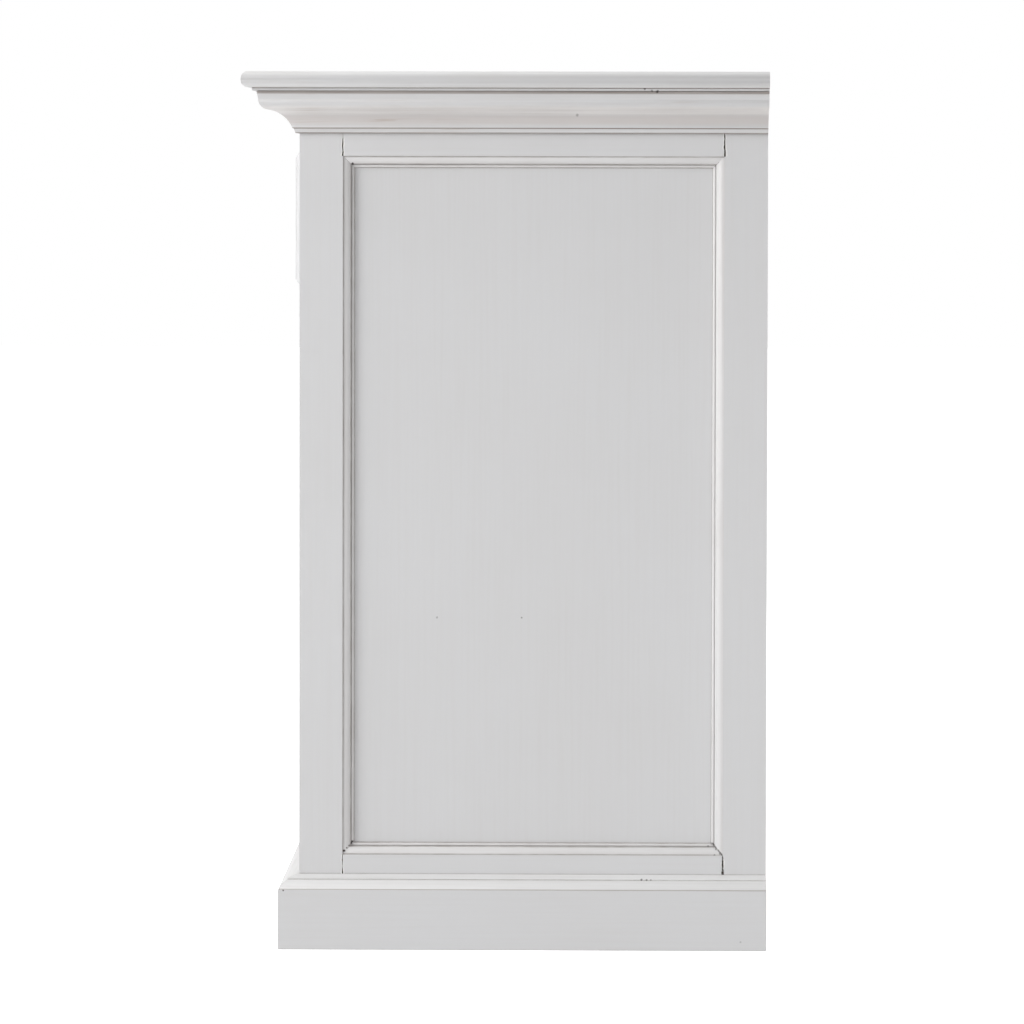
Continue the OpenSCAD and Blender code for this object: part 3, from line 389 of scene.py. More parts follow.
# Small dents with a torn edge. They are placed by breadth and height, and only loosely by depth
def dentMarks(tree, coords, v):
    loose = Vector((v["markDepth"], 1, 1))
    flat = addNode(tree, "VectorMath", {0: coords, 1: loose}, operation="MULTIPLY").outputs[0]
    density = 1 / (v["markTear"] * mm)
    rough = addNode(tree, "TexNoise", {"Vector": coords, "Scale": density, "Detail": 1.0}).outputs[0]
    shown = 0.0
    for place, radius, darkness in v["marks"]:
        centre = Vector(place) * loose * mm
        away = addNode(tree, "VectorMath", {0: flat, 1: centre}, operation="DISTANCE").outputs["Value"]
        core = v["markCore"] * radius
        near = addNode(tree, "MapRange", {0: away, 1: radius * mm, 2: core * mm}).outputs[0]
        bite = addNode(tree, "Math", {0: near, 1: rough}, operation="MULTIPLY").outputs[0]
        torn = addNode(tree, "MapRange", {
            0: bite, 1: v["tearStarts"], 2: v["tearFull"], 4: darkness,
        }).outputs[0]
        shown = addNode(tree, "Math", {0: shown, 1: torn}, operation="MAXIMUM").outputs[0]
    return shown


# The colour of the coat, which blends into another one round some heights, as bands of painted highlight
# and painted shade
def coatWithPaintedLight(tree, coords, v):
    colour = linearColour(v["colour"])
    height = addNode(tree, "SeparateXYZ", {0: coords}).outputs[zAxis]
    for middle, half, other in v["paintedLightBands"]:
        away = addNode(tree, "Math", {0: height, 1: middle * mm}, operation="SUBTRACT").outputs[0]
        size = addNode(tree, "Math", {0: away}, operation="ABSOLUTE").outputs[0]
        show = addNode(tree, "MapRange", {
            0: size, 1: half * mm, 2: v["bandCore"] * half * mm,
        }, interpolation_type="SMOOTHSTEP").outputs[0]
        colour = addNode(tree, "Mix", {
            0: show, 6: colour, 7: linearColour(other),
        }, data_type="RGBA").outputs[2]
    return colour


# Where the coat is thin, in streaks over the grain and slowly from place to place
def thinCoat(tree, streak, cloud, v):
    lines = addNode(tree, "MapRange", {
        0: streak, 1: v["streakStarts"], 2: v["streakFull"], 4: v["streakShow"],
    }).outputs[0]
    slow = addNode(tree, "MapRange", {
        0: cloud, 1: v["cloudStarts"], 2: v["cloudFull"], 4: v["cloudShow"],
    }).outputs[0]
    return addNode(tree, "Math", {0: lines, 1: slow}, operation="ADD", use_clamp=True).outputs[0]


# Dust in inside corners, and painted shade: the coat darkens in patches where an occlusion test finds a
# corner close by
def cornerDustAndShade(tree, coords, v):
    openness = addNode(tree, "AmbientOcclusion", {
        "Distance": v["dustShadeReach"] * mm,
    }, samples=cornerRays).outputs["AO"]
    density = 1 / (v["dustShadePatch"] * mm)
    patches = addNode(tree, "TexNoise", {"Vector": coords, "Scale": density, "Detail": 2.0}).outputs[0]
    share = addNode(tree, "MapRange", {
        0: patches, 1: noiseLow, 2: noiseHigh, 3: v["dustShadeLeast"],
    }).outputs[0]
    cornerShadeAndDirt = addNode(tree, "MapRange", {
        0: openness, 1: v["dustShadeStarts"], 2: v["dustShadeFull"], 4: v["dustShadeShow"],
    }).outputs[0]
    return addNode(tree, "Math", {0: cornerShadeAndDirt, 1: share}, operation="MULTIPLY").outputs[0]


# Lines of bare grain, where the coat is rubbed
def bareFigure(tree, along, cloud, v):
    rubbed = addNode(tree, "MapRange", {
        0: cloud, 1: v["rubStarts"], 2: v["rubFull"], 4: v["figureShow"],
    }).outputs[0]
    wave = addNode(tree, "TexNoise", {
        "Vector": along, "Scale": v["figureDensity"], "Detail": 3.0, "Distortion": v["figureBend"],
    }).outputs[0]
    line = addNode(tree, "MapRange", {0: wave, 1: v["figureStarts"], 2: v["figureFull"]}).outputs[0]
    return addNode(tree, "Math", {0: line, 1: rubbed}, operation="MULTIPLY").outputs[0]


# Grain is an axis, or a dictionary as above where boards join
def paintedTimber(name, grain, **changes):
    v = {**paint, **changes}
    material = newMaterial(name)
    tree = material.node_tree
    coords = addNode(tree, "TexCoord").outputs["Object"]
    along = grainCoords(tree, coords, grain, v["streakWidth"], v["streakLength"])
    streak = addNode(tree, "TexNoise", {
        "Vector": along, "Scale": 1.0, "Detail": 4.0, "Roughness": 0.6,
    }).outputs[0]
    density = 1 / (v["cloud"] * mm)
    cloud = addNode(tree, "TexNoise", {"Vector": coords, "Scale": density, "Detail": 2.0}).outputs[0]

    # What lies over the coat, each over the last, and the name of its colour
    layers = [(thinCoat(tree, streak, cloud, v), "streak"), (cornerDustAndShade(tree, coords, v), "dustShade")]
    if v["figureShow"]:
        layers.append((bareFigure(tree, along, cloud, v), "figure"))
    if v["seams"]:
        layers.append((dustShadeSeams(tree, coords, grain, v), "dustShade"))
    dark = 0.0
    if not isinstance(grain, int):
        dark, highlight = openJoints(tree, coords, grain, v)
        layers.append((highlight, "highlight"))
    if v["marks"]:
        dents = dentMarks(tree, coords, v)
        dark = addNode(tree, "Math", {0: dark, 1: dents}, operation="MAXIMUM").outputs[0]
    layers.append((dark, "crack"))

    colour = coatWithPaintedLight(tree, coords, v)
    for share, part in layers:
        colour = addNode(tree, "Mix", {
            0: share, 6: colour, 7: linearColour(v[part]),
        }, data_type="RGBA").outputs[2]

    fine = grainCoords(tree, coords, grain, v["brushWidth"], v["brushLength"])
    brush = addNode(tree, "TexNoise", {"Vector": fine, "Scale": 1.0, "Detail": 2.0}).outputs[0]
    bump = addNode(tree, "Bump", {"Strength": 1.0, "Distance": v["brushDepth"] * mm, "Height": brush})
    sheen = addNode(tree, "MapRange", {
        0: streak, 1: noiseLow, 2: noiseHigh,
        3: v["roughness"] - v["smoother"], 4: v["roughness"] + v["duller"],
    }).outputs[0]
    shader = addNode(tree, "BsdfPrincipled", {
        "Base Color": colour, "Roughness": sheen, "IOR": v["ior"], "Normal": bump.outputs[0],
    })
    addNode(tree, "OutputMaterial", {"Surface": shader.outputs[0]})
    return material


def dress(material, *names):
    for name in names:
        nodes[name].data.materials.clear()
        nodes[name].data.materials.append(material)


# Mouldings take the paint more thinly over their curves, so they look warmer than the flat boards. The
# sticking's lighter coat is a painted highlight, since its slopes turn up towards the light

flatBoard = {"streakShow": 0.14, "cloudShow": 0.12}
sticking = {
    "colour": "#e7e6e6", "streak": "#d6d2d0", "streakShow": 0.3, "dustShadeShow": 0.12, "crackOpen": 0.05,
    # painted shade at the outer edge, the quirk and the foot of the moulding
    "seams": ((-0.4, 0.9), (-7.6, 0.7), (-11.0, 0.9)),
}
corniceCoat = {
    "colour": "#dededf", "streak": "#cfcac8", "streakShow": 0.3, "crackOpen": -0.2,
    "figure": "#c0b2a8", "figureShow": 0.5,
    "paintedLightBands": (
        (813.5, 6, "#efecea"), (805, 7, "#d9d4d2"),  # painted highlight under the convex round and painted shade in the cove
        (835.2, 0.9, "#8a8079"), (830.9, 2.0, "#9b928d"),  # painted shade in the lines under the top board and under the fillet
        (796.8, 0.8, "#9c928b"), (792.2, 0.8, "#8f8680"),  # painted shade in the joint lines above and below the bed moulding
    ),
}
# The capping's lighter coat is a painted highlight on its slope, which faces up, and its band is painted
# shade: a dark line where it meets the face of the plinth
cappingCoat = {
    "colour": "#ececec", "streak": "#d9d5d3", "streakShow": 0.3, "crackOpen": -0.1,
    "paintedLightBands": ((58.7, 0.7, "#b9b2ae"),),
}
# The top board's lighter coat is a painted highlight on its upper face, and its band is painted shade on its
# edge
topCoat = {
    "colour": "#efefef", "streak": "#d0cdcb", "streakShow": 0.32, "crackOpen": -1.0,
    "paintedLightBands": ((843, 7.5, "#d0d0d1"),),
}


# A run of dents so close that they read as one crack, whose radius changes from end to end
def crackMarks(start, end, count, radii, darkness):
    marks = []
    for i in range(count):
        part = i / (count - 1)
        radius = radii[0] + (radii[1] - radii[0]) * part
        marks.append((Vector(start).lerp(Vector(end), part), radius, darkness))
    return marks


# Dents in the paint of the right end. The joint of the lower rail and the rear post gapes more and
# more towards the plinth

panelMarks = (((660, -66.5, 321), 1.6, 0.7), ((660, 16, 321), 1.3, 0.6))
frameMarks = crackMarks((671, 212, 89), (671, 212, 72), 14, (1.1, 2.1), 1.0)
cornerMarks = (
    ((661.5, -148.8, 762.5), 1.8, 1.0),
    ((661.5, -148.3, 102.5), 2.0, 1.0), ((662, -149.6, 100.8), 1.7, 0.9), ((665, -151.6, 98.9), 1.5, 0.8),
    ((667, -153.6, 96.7), 1.5, 0.9), ((669, -156.3, 93.7), 2.1, 1.0),
    ((661.5, 201.5, 101.5), 1.8, 0.6), ((661.5, 198, 99), 1.5, 0.4), ((665, 205.5, 96.5), 1.6, 0.6),
    ((669, 209.5, 92.5), 2.0, 0.7), ((669, 204, 91), 1.5, 0.5),
    *crackMarks((661.5, 202.8, 101.3), (671, 211.6, 90.6), 11, (1.3, 1.4), 0.8),
)
corniceMarks = (
    ((711, 134, 834.5), 1.9, 0.7), ((711, 141, 832.5), 1.8, 0.6), ((709, 146, 832), 2.4, 0.9),
    ((690, 69, 809.6), 2.2, 0.4),
)
plinthMarks = (((691, 229, 9), 1.4, 0.3), ((689, -214.5, 57.6), 1.4, 0.9))
cappingMarks = (((681, 133, 68), 1.6, 0.7), ((682, 138, 67.8), 1.5, 0.6), ((682, 142, 67.8), 1.3, 0.5))

dress(paintedTimber("satinPaintTopBoard", topRun, **topCoat), "top_board")
dress(paintedTimber("satinPaintCornice", mitredRun, **corniceCoat, marks=corniceMarks),
      "crown_moulding", "bed_moulding")
dress(paintedTimber("satinPaintPlinth", mitredRun, **flatBoard, crackOpen=-0.1, marks=plinthMarks),
      "plinth_front", "plinth_sides")
dress(paintedTimber("satinPaintCapping", mitredRun, **cappingCoat, marks=cappingMarks), "plinth_capping")
dress(paintedTimber("satinPaintSideFrames", sideJoints, **flatBoard, marks=frameMarks),
      "front_posts", "rear_posts", "side_rails")
dress(paintedTimber("satinPaintSidePanels", zAxis, **flatBoard, marks=panelMarks), "side_panels")
dress(paintedTimber("satinPaintSideSticking", sideMitres, **sticking, marks=cornerMarks), "side_mouldings")
dress(paintedTimber("satinPaintMullions", zAxis, **flatBoard), "mullions")
dress(paintedTimber("satinPaintFaceRails", faceJoints, **flatBoard), "face_rails")
dress(paintedTimber("satinPaintLongBoards", xAxis, **flatBoard),
      "mid_rails", *("drawer_front_" + s for s in sides))
dress(paintedTimber("satinPaintDoorPanels", zAxis, **flatBoard), *("door_panel_" + s for s in sides))
for side in sides:
    opening = middleAndHalf("door_moulding_" + side)
    doorJoints = frameJoints(*opening, xAxis, False)
    doorMitres = frameJoints(*opening, xAxis, True)
    dress(paintedTimber("satinPaintDoorFrame_" + side, doorJoints, **flatBoard, crackOpen=0.1),
          "door_frame_" + side)
    dress(paintedTimber("satinPaintDoorSticking_" + side, doorMitres, **sticking), "door_moulding_" + side)
print("stage: paint mixed")

# Planed and waxed hardwood, left bare inside and behind. Its growth rings show as soft brown bands
# along the board, with short dark pores between them

bareTimber = {
    "light": "#a98259",
    "dark": "#7c5738",
    "pore": "#4c3222",
    "roughness": 0.5,
    "poreRoughness": 0.75,
    "ior": 1.5,
    "ringWidth": 11,  # mm between growth rings on a flat face
    "ringLength": 420,  # mm
    "ringStarts": 0.15,  # share of a ring that is pale
    "ringEnds": 0.95,  # share of it at which the dark wood stops
    "ringShow": 0.85,
    "wander": 9.6,  # rings
    "wanderDensity": 0.35,  # waves for each ring
    "poreWidth": 0.7,  # mm, three times the real width so that pores show
    "poreLength": 16,  # mm
    "poreStarts": 0.58,
    "poreFull": 0.7,
    "poreShow": 0.7,
    "poreDepth": 0.03,  # mm
    "poreStrength": 0.6,
}


# Axis is the way that the grain runs. Behind the plane y = turned, where one is given, it runs along X
def planedTimber(name, axis, v, turned=None):
    material = newMaterial(name)
    tree = material.node_tree
    coords = addNode(tree, "TexCoord").outputs["Object"]
    if turned is not None:
        y = addNode(tree, "SeparateXYZ", {0: coords}).outputs[yAxis]
        behind = addNode(tree, "Math", {0: y, 1: turned}, operation="GREATER_THAN").outputs[0]
        swung = addNode(tree, "Mapping", {"Vector": coords, "Rotation": (0, 0, math.pi / 2)}).outputs[0]
        coords = addNode(tree, "Mix", {0: behind, 4: coords, 5: swung}, data_type="VECTOR").outputs[1]
    along = stretchedCoords(tree, coords, axis, v["ringWidth"], v["ringLength"])
    bend = addNode(tree, "TexNoise", {"Vector": along, "Scale": v["wanderDensity"], "Detail": 3.0}).outputs[0]
    rise = addNode(tree, "Math", {0: bend, 1: v["wander"]}, operation="MULTIPLY").outputs[0]
    place = addNode(tree, "SeparateXYZ", {0: along}).outputs
    depth, breadth = place[(axis + 1) % 3], place[(axis + 2) % 3]
    across = addNode(tree, "Math", {0: depth, 1: breadth}, operation="ADD").outputs[0]
    count = addNode(tree, "Math", {0: across, 1: rise}, operation="ADD").outputs[0]
    ring = addNode(tree, "Math", {0: count}, operation="FRACT").outputs[0]
    late = addNode(tree, "MapRange", {
        0: ring, 1: v["ringStarts"], 2: v["ringEnds"], 4: v["ringShow"],
    }).outputs[0]
    fade = addNode(tree, "MapRange", {0: ring, 1: v["ringEnds"], 2: 1.0, 3: 1.0, 4: 0.0}).outputs[0]
    band = addNode(tree, "Math", {0: late, 1: fade}, operation="MULTIPLY").outputs[0]
    wood = addNode(tree, "Mix", {
        0: band, 6: linearColour(v["light"]), 7: linearColour(v["dark"]),
    }, data_type="RGBA").outputs[2]
    thin = stretchedCoords(tree, coords, axis, v["poreWidth"], v["poreLength"])
    pores = addNode(tree, "TexNoise", {"Vector": thin, "Scale": 1.0, "Detail": 2.0}).outputs[0]
    pore = addNode(tree, "MapRange", {
        0: pores, 1: v["poreStarts"], 2: v["poreFull"], 4: v["poreShow"],
    }).outputs[0]
    colour = addNode(tree, "Mix", {0: pore, 6: wood, 7: linearColour(v["pore"])}, data_type="RGBA").outputs[2]
    bump = addNode(tree, "Bump", {
        "Strength": v["poreStrength"], "Distance": v["poreDepth"] * mm, "Height": pore,
    }, invert=True)
    sheen = addNode(tree, "MapRange", {0: pore, 3: v["roughness"], 4: v["poreRoughness"]}).outputs[0]
    shader = addNode(tree, "BsdfPrincipled", {
        "Base Color": colour, "Roughness": sheen, "IOR": v["ior"], "Normal": bump.outputs[0],
    })
    addNode(tree, "OutputMaterial", {"Surface": shader.outputs[0]})
    return material


timberAlong = [planedTimber("waxedHardwoodAlong" + "XYZ"[axis], axis, bareTimber) for axis in range(3)]
dress(timberAlong[xAxis], "bottom_board", "shelves", "back_rails")
dress(timberAlong[yAxis], "drawer_runners", "drawer_kickers", "top_buttons")
dress(timberAlong[zAxis], "partitions", "back_muntins")
drawerTimber = planedTimber("waxedHardwoodDrawers", yAxis, bareTimber, drawerBackY)
dress(drawerTimber, *("drawer_box_" + s for s in sides))

# Sealed plywood with a peeled face veneer: pale, with wide soft flames and a dull surface

plywood = {
    "light": "#c4a67a",
    "dark": "#b39266",
    "roughness": 0.6,
    "ior": 1.46,
    "flameWidth": 46,  # mm
    "flameLength": 520,  # mm
    "flameBend": 0.6,
    "flameLines": 9,  # across one flame
    "fibreWidth": 0.8,  # mm
    "fibreLength": 30,  # mm
    "fibreDepth": 0.02,  # mm
    "fibreStrength": 0.5,
    "darkStarts": 0.05,
    "darkFull": 0.6,
}


def peeledPlywood(name, axis, v):
    material = newMaterial(name)
    tree = material.node_tree
    coords = addNode(tree, "TexCoord").outputs["Object"]
    wide = stretchedCoords(tree, coords, axis, v["flameWidth"], v["flameLength"])
    flame = addNode(tree, "TexNoise", {
        "Vector": wide, "Scale": 1.0, "Detail": 2.0, "Distortion": v["flameBend"],
    }).outputs[0]
    lines = addNode(tree, "Math", {0: flame, 1: v["flameLines"]}, operation="MULTIPLY").outputs[0]
    wave = addNode(tree, "Math", {0: lines, 1: 1.0}, operation="PINGPONG").outputs[0]
    fibres = stretchedCoords(tree, coords, axis, v["fibreWidth"], v["fibreLength"])
    fibre = addNode(tree, "TexNoise", {"Vector": fibres, "Scale": 1.0, "Detail": 2.0}).outputs[0]
    mixed = addNode(tree, "Math", {0: wave, 1: fibre}, operation="MULTIPLY").outputs[0]
    shade = addNode(tree, "MapRange", {0: mixed, 1: v["darkStarts"], 2: v["darkFull"]}).outputs[0]
    colour = addNode(tree, "Mix", {
        0: shade, 6: linearColour(v["light"]), 7: linearColour(v["dark"]),
    }, data_type="RGBA").outputs[2]
    bump = addNode(tree, "Bump", {
        "Strength": v["fibreStrength"], "Distance": v["fibreDepth"] * mm, "Height": fibre,
    })
    shader = addNode(tree, "BsdfPrincipled", {
        "Base Color": colour, "Roughness": v["roughness"], "IOR": v["ior"], "Normal": bump.outputs[0],
    })
    addNode(tree, "OutputMaterial", {"Surface": shader.outputs[0]})
    return material


dress(peeledPlywood("sealedPlywoodUpright", zAxis, plywood), "back_panels")
dress(peeledPlywood("sealedPlywoodFlat", xAxis, plywood), *("drawer_bottom_" + s for s in sides))

# Cast brass, polished and then left to age: a warm yellow metal, browner and duller in its hollows

brass = {
    "bright": "#b19262",
    "aged": "#6b5334",
    "roughness": 0.3,
    "agedRoughness": 0.55,
    "bloom": 9,  # mm, patches of tarnish
    "bloomStarts": 0.42,
    "bloomFull": 0.72,
    "bloomShow": 0.75,
    "hollow": 2.5,  # mm
    "hollowStarts": 0.9,  # openness of a corner
    "hollowFull": 0.35,
    "scratchWidth": 0.35,  # mm
    "scratchLength": 9,  # mm
    "scratchDepth": 0.01,  # mm
    "scratchStrength": 0.25,
}


def agedBrass(name, v):
    material = newMaterial(name)
    tree = material.node_tree
    coords = addNode(tree, "TexCoord").outputs["Object"]
    density = 1 / (v["bloom"] * mm)
    patches = addNode(tree, "TexNoise", {"Vector": coords, "Scale": density, "Detail": 4.0}).outputs[0]
    openness = addNode(tree, "AmbientOcclusion", {
        "Distance": v["hollow"] * mm,
    }, samples=cornerRays).outputs["AO"]
    hollow = addNode(tree, "MapRange", {0: openness, 1: v["hollowStarts"], 2: v["hollowFull"]}).outputs[0]
    bloom = addNode(tree, "MapRange", {
        0: patches, 1: v["bloomStarts"], 2: v["bloomFull"], 4: v["bloomShow"],
    }).outputs[0]
    aged = addNode(tree, "Math", {0: hollow, 1: bloom}, operation="MAXIMUM").outputs[0]
    colour = addNode(tree, "Mix", {
        0: aged, 6: linearColour(v["bright"]), 7: linearColour(v["aged"]),
    }, data_type="RGBA").outputs[2]
    lines = stretchedCoords(tree, coords, xAxis, v["scratchWidth"], v["scratchLength"])
    scratch = addNode(tree, "TexNoise", {"Vector": lines, "Scale": 1.0, "Detail": 1.0}).outputs[0]
    bump = addNode(tree, "Bump", {
        "Strength": v["scratchStrength"], "Distance": v["scratchDepth"] * mm, "Height": scratch,
    })
    dull = addNode(tree, "MapRange", {0: aged, 3: v["roughness"], 4: v["agedRoughness"]}).outputs[0]
    shader = addNode(tree, "BsdfPrincipled", {
        "Base Color": colour, "Metallic": 1.0, "Roughness": dull, "Normal": bump.outputs[0],
    })
    addNode(tree, "OutputMaterial", {"Surface": shader.outputs[0]})
    return material


brassFinish = agedBrass("agedCastBrass", brass)
dress(brassFinish, "shelf_pins", "hinge_frame_leaves", "hinge_pins", "door_catches")
for side in sides:
    for kind in ("door_hinges_", "drawer_plate_", "drawer_ring_", "door_plate_", "door_ring_"):
        dress(brassFinish, kind + side)
print("stage: timber, plywood and brass ready")

# No edge of a board is left sharp: a hand sands it and the paint rounds it further

edges = {
    "weld": 0.005,  # mm, joins the loose triangles of a CAD piece
    "board": 1.0,  # mm
    "moulding": 0.3,  # mm
    "bare": 0.4,  # mm
    "metal": 0.2,  # mm
    "steps": 2,
    "angle": 35,  # degrees
}


def softenEdges(v, width, *names):
    for name in names:
        weld = nodes[name].modifiers.new("weld", "WELD")
        weld.merge_threshold = v["weld"] * mm
        bevel = nodes[name].modifiers.new("softEdge", "BEVEL")
        bevel.width = v[width] * mm
        bevel.segments = v["steps"]
        bevel.limit_method = "ANGLE"
        bevel.angle_limit = math.radians(v["angle"])


softenEdges(edges, "board", "top_board", "front_posts", "rear_posts", "side_rails", "face_rails", "mid_rails",
            "mullions", "plinth_front", "plinth_sides", *("door_frame_" + s for s in sides),
            *("drawer_front_" + s for s in sides))
softenEdges(edges, "moulding", "crown_moulding", "bed_moulding", "plinth_capping", "side_mouldings",
            *("door_moulding_" + s for s in sides))
softenEdges(edges, "bare", "partitions", "bottom_board", "shelves", "back_rails", "back_muntins",
            "drawer_runners", "drawer_kickers", "top_buttons", *("drawer_box_" + s for s in sides))
softenEdges(edges, "metal", "hinge_frame_leaves", *("door_hinges_" + s for s in sides))
print("stage: edges softened")

# Brass fasteners: slotted screws in the hinge leaves and the wooden buttons, round headed pins in the
# plates of the pulls, and a thin strike for each ball catch

fasteners = {
    "screwRadius": 2.2,  # mm, head of a hinge screw
    "buttonScrewRadius": 4.2,  # mm
    "headDepth": 1.0,  # mm, how far a head goes in
    "proud": 0.05,  # mm, how far a sunk head stands out
    "slotWidth": 0.7,  # mm
    "slotDepth": 0.5,  # mm
    "headEdge": 0.08,  # mm
    "headSides": 32,
    "smooth": 35,  # degrees
    "pinRadius": 1.9,  # mm
    "pinHeight": 0.9,  # mm
    "pinOut": 13,  # mm from the middle of a plate
    "pinSides": 28,
    "pinRings": 16,
    "pinSmooth": 50,  # degrees
    "leafScrews": ((8, 12), (25, 8), (42, 12)),  # mm above the leaf's end and behind the pin
    "leafHeight": 50,  # mm, of one hinge
    "leafClear": 0.1,  # mm, half the gap between its two leaves
    "knuckle": 2.5,  # mm, its radius round the pin
    "plate": 2,  # mm thick
    "strike": (22, 9, 0.4),  # mm long, wide and thick
    "strikeCorner": 1.2,  # mm
    "strikeSteps": 5,
    "strikeRim": 2.4,  # mm, round the pan
    "strikeEdge": 0.06,  # mm
    "buttonReach": 13,  # mm from a rail to a button's screw
    "rail": 22,  # mm thick
    "hingeSide": {"left": -1, "middle": -1, "right": 1},  # of each door, -1 is its left
}


def deselectAll():
    bpy.ops.object.select_all(action="DESELECT")


def looksUp(normal):
    return normal.z > 0.9


# In edit mode, selects only the faces for which the test of their middle and normal holds
def selectFaces(piece, test):
    bpy.ops.mesh.select_mode(type="FACE")
    bpy.ops.mesh.select_all(action="DESELECT")
    mesh = bmesh.from_edit_mesh(piece.data)
    for face in mesh.faces:
        if test(face.calc_center_median(), face.normal):
            face.select_set(True)
    bmesh.update_edit_mesh(piece.data)


def roundEdges(piece, width, angle):
    bpy.ops.object.modifier_add(type="BEVEL")
    bevel = piece.modifiers[-1]
    bevel.width = width * mm
    bevel.segments = 1
    bpy.ops.object.modifier_apply(modifier=bevel.name)
    bpy.ops.object.shade_smooth_by_angle(angle=math.radians(angle))


# A slotted head that looks up, with its underside sunk
def slottedHead(name, radius, v):
    deselectAll()
    bpy.ops.mesh.primitive_cylinder_add(
        vertices=v["headSides"], radius=radius * mm, depth=v["headDepth"] * mm)
    head = bpy.context.object
    head.name = name
    half = v["slotWidth"] * mm / 2
    top = v["headDepth"] * mm / 2
    bpy.ops.object.mode_set(mode="EDIT")
    for y in (-half, half):
        bpy.ops.mesh.select_all(action="SELECT")
        bpy.ops.mesh.bisect(plane_co=(0, y, 0), plane_no=(0, 1, 0))
    selectFaces(head, lambda middle, normal: looksUp(normal) and abs(middle.y) < half)
    bpy.ops.mesh.extrude_region_move(TRANSFORM_OT_translate={"value": (0, 0, -v["slotDepth"] * mm)})
    bpy.ops.mesh.select_all(action="SELECT")
    bpy.ops.transform.translate(value=(0, 0, v["proud"] * mm - top))
    bpy.ops.mesh.normals_make_consistent(inside=False)
    bpy.ops.object.mode_set(mode="OBJECT")
    roundEdges(head, v["headEdge"], v["smooth"])
    return head


# A low round head that looks up, cut off flat underneath
def roundHead(name, v):
    deselectAll()
    bpy.ops.mesh.primitive_uv_sphere_add(
        segments=v["pinSides"], ring_count=v["pinRings"], radius=v["pinRadius"] * mm)
    head = bpy.context.object
    head.name = name
    bpy.ops.object.mode_set(mode="EDIT")
    bpy.ops.mesh.select_all(action="SELECT")
    bpy.ops.mesh.bisect(plane_co=(0, 0, 0), plane_no=(0, 0, 1), use_fill=True, clear_inner=True)
    bpy.ops.mesh.select_all(action="SELECT")
    bpy.ops.transform.resize(value=(1, 1, v["pinHeight"] / v["pinRadius"]), center_override=(0, 0, 0))
    bpy.ops.object.mode_set(mode="OBJECT")
    bpy.ops.object.shade_smooth_by_angle(angle=math.radians(v["pinSmooth"]))
    return head


# A thin plate with round corners and a shallow pan for the ball
def strikePlate(name, v):
    deselectAll()
    size = Vector(v["strike"]) * mm
    bpy.ops.mesh.primitive_cube_add(size=1)
    plate = bpy.context.object
    plate.name = name
    bpy.ops.object.mode_set(mode="EDIT")
    bpy.ops.mesh.select_all(action="SELECT")
    bpy.ops.transform.resize(value=size, center_override=(0, 0, 0))
    bpy.ops.transform.translate(value=(0, 0, size.z / 2))
    bpy.ops.mesh.select_mode(type="EDGE")
    bpy.ops.mesh.select_all(action="DESELECT")
    mesh = bmesh.from_edit_mesh(plate.data)
    for edge in mesh.edges:
        ends = [corner.co for corner in edge.verts]
        upright = abs(ends[0].z - ends[1].z) > size.z / 2
        edge.select_set(upright)
    bmesh.update_edit_mesh(plate.data)
    bpy.ops.mesh.bevel(offset=v["strikeCorner"] * mm, segments=v["strikeSteps"])
    selectFaces(plate, lambda middle, normal: looksUp(normal))
    bpy.ops.mesh.inset(thickness=v["strikeRim"] * mm)
    bpy.ops.transform.translate(value=(0, 0, -size.z / 2))
    bpy.ops.object.mode_set(mode="OBJECT")
    roundEdges(plate, v["strikeEdge"], v["smooth"])
    return plate


# Copies of one piece, each set at its place and turned to face its way, as one group of solids
def groupOf(master, name, body, spots):
    copies = []
    for place, facing in spots:
        piece = master.copy()
        piece.data = master.data.copy()
        bpy.context.collection.objects.link(piece)
        piece.matrix_world = Matrix.LocRotScale(Vector(place), Vector(facing).to_track_quat("Z", "Y"), None)
        copies.append(piece)
    deselectAll()
    for piece in copies:
        piece.select_set(True)
    bpy.context.view_layer.objects.active = copies[0]
    if len(copies) > 1:
        bpy.ops.object.join()
    group = bpy.context.object
    group.name = name
    group.data.name = name
    bpy.ops.object.transform_apply(location=True, rotation=True, scale=True)
    group.data.materials.clear()
    group.data.materials.append(brassFinish)
    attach(group, body)


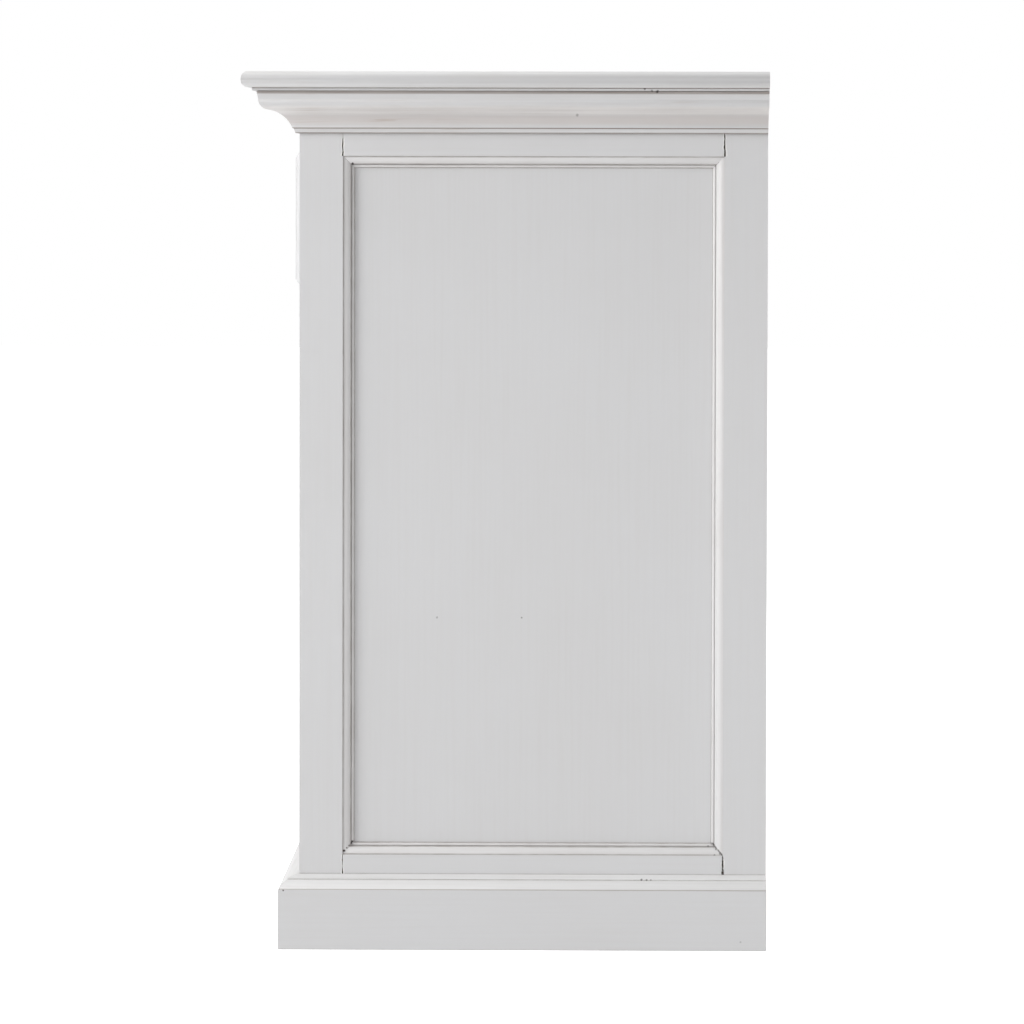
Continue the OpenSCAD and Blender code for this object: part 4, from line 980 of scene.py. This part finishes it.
# Places of the screws in the leaves of one door's hinges. Way is the side that the heads look to
def leafSpots(side, way, v):
    low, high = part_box("door_hinges_" + side)
    x = (low.x + high.x) / 2 - way * v["leafClear"] * mm
    spots = []
    for foot in (low.z, high.z - v["leafHeight"] * mm):
        for up, back in v["leafScrews"]:
            spots.append(((x, low.y + (v["knuckle"] + back) * mm, foot + up * mm), (way, 0, 0)))
    return spots


def makeFasteners(v):
    leafScrew = slottedHead("leafScrew", v["screwRadius"], v)
    buttonScrew = slottedHead("buttonScrew", v["buttonScrewRadius"], v)
    pin = roundHead("platePin", v)
    strike = strikePlate("catchStrike", v)

    frameSpots = []
    for side in sides:
        way = v["hingeSide"][side]
        groupOf(leafScrew, "door_hinge_screws_" + side, "door_" + side, leafSpots(side, way, v))
        frameSpots += leafSpots(side, -way, v)
    groupOf(leafScrew, "frame_hinge_screws", "carcass", frameSpots)

    for side in sides:
        for kind in ("drawer", "door"):
            low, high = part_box(kind + "_plate_" + side)
            middle = (low + high) / 2
            face = high.y - v["plate"] * mm
            spots = [((middle.x + way * v["pinOut"] * mm, face, middle.z), (0, -1, 0)) for way in (-1, 1)]
            groupOf(pin, kind + "_plate_pins_" + side, kind + "_" + side, spots)

    catchY = middleAndHalf("door_catches")[0].y
    for side in sides:
        x = middleAndHalf("door_plate_" + side)[0].x
        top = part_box("door_frame_" + side)[1].z
        groupOf(strike, "catch_strike_" + side, "door_" + side, [((x, catchY, top), (0, 0, 1))])

    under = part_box("top_buttons")[0].z
    inward = (v["rail"] + v["buttonReach"]) * mm
    rows = (frontY + inward, backY - inward)
    spots = [(middleAndHalf("drawer_front_" + s)[0].x, y) for s in sides for y in rows]
    spots += [(way * (sideX - inward), (frontY + backY) / 2) for way in (-1, 1)]
    groupOf(buttonScrew, "button_screws", "carcass", [((x, y, under), (0, 0, -1)) for x, y in spots])

    for master in (leafScrew, buttonScrew, pin, strike):
        bpy.data.objects.remove(master)


makeFasteners(fasteners)
print("stage: fasteners made")

bpy.context.scene.view_settings.view_transform = "Standard"
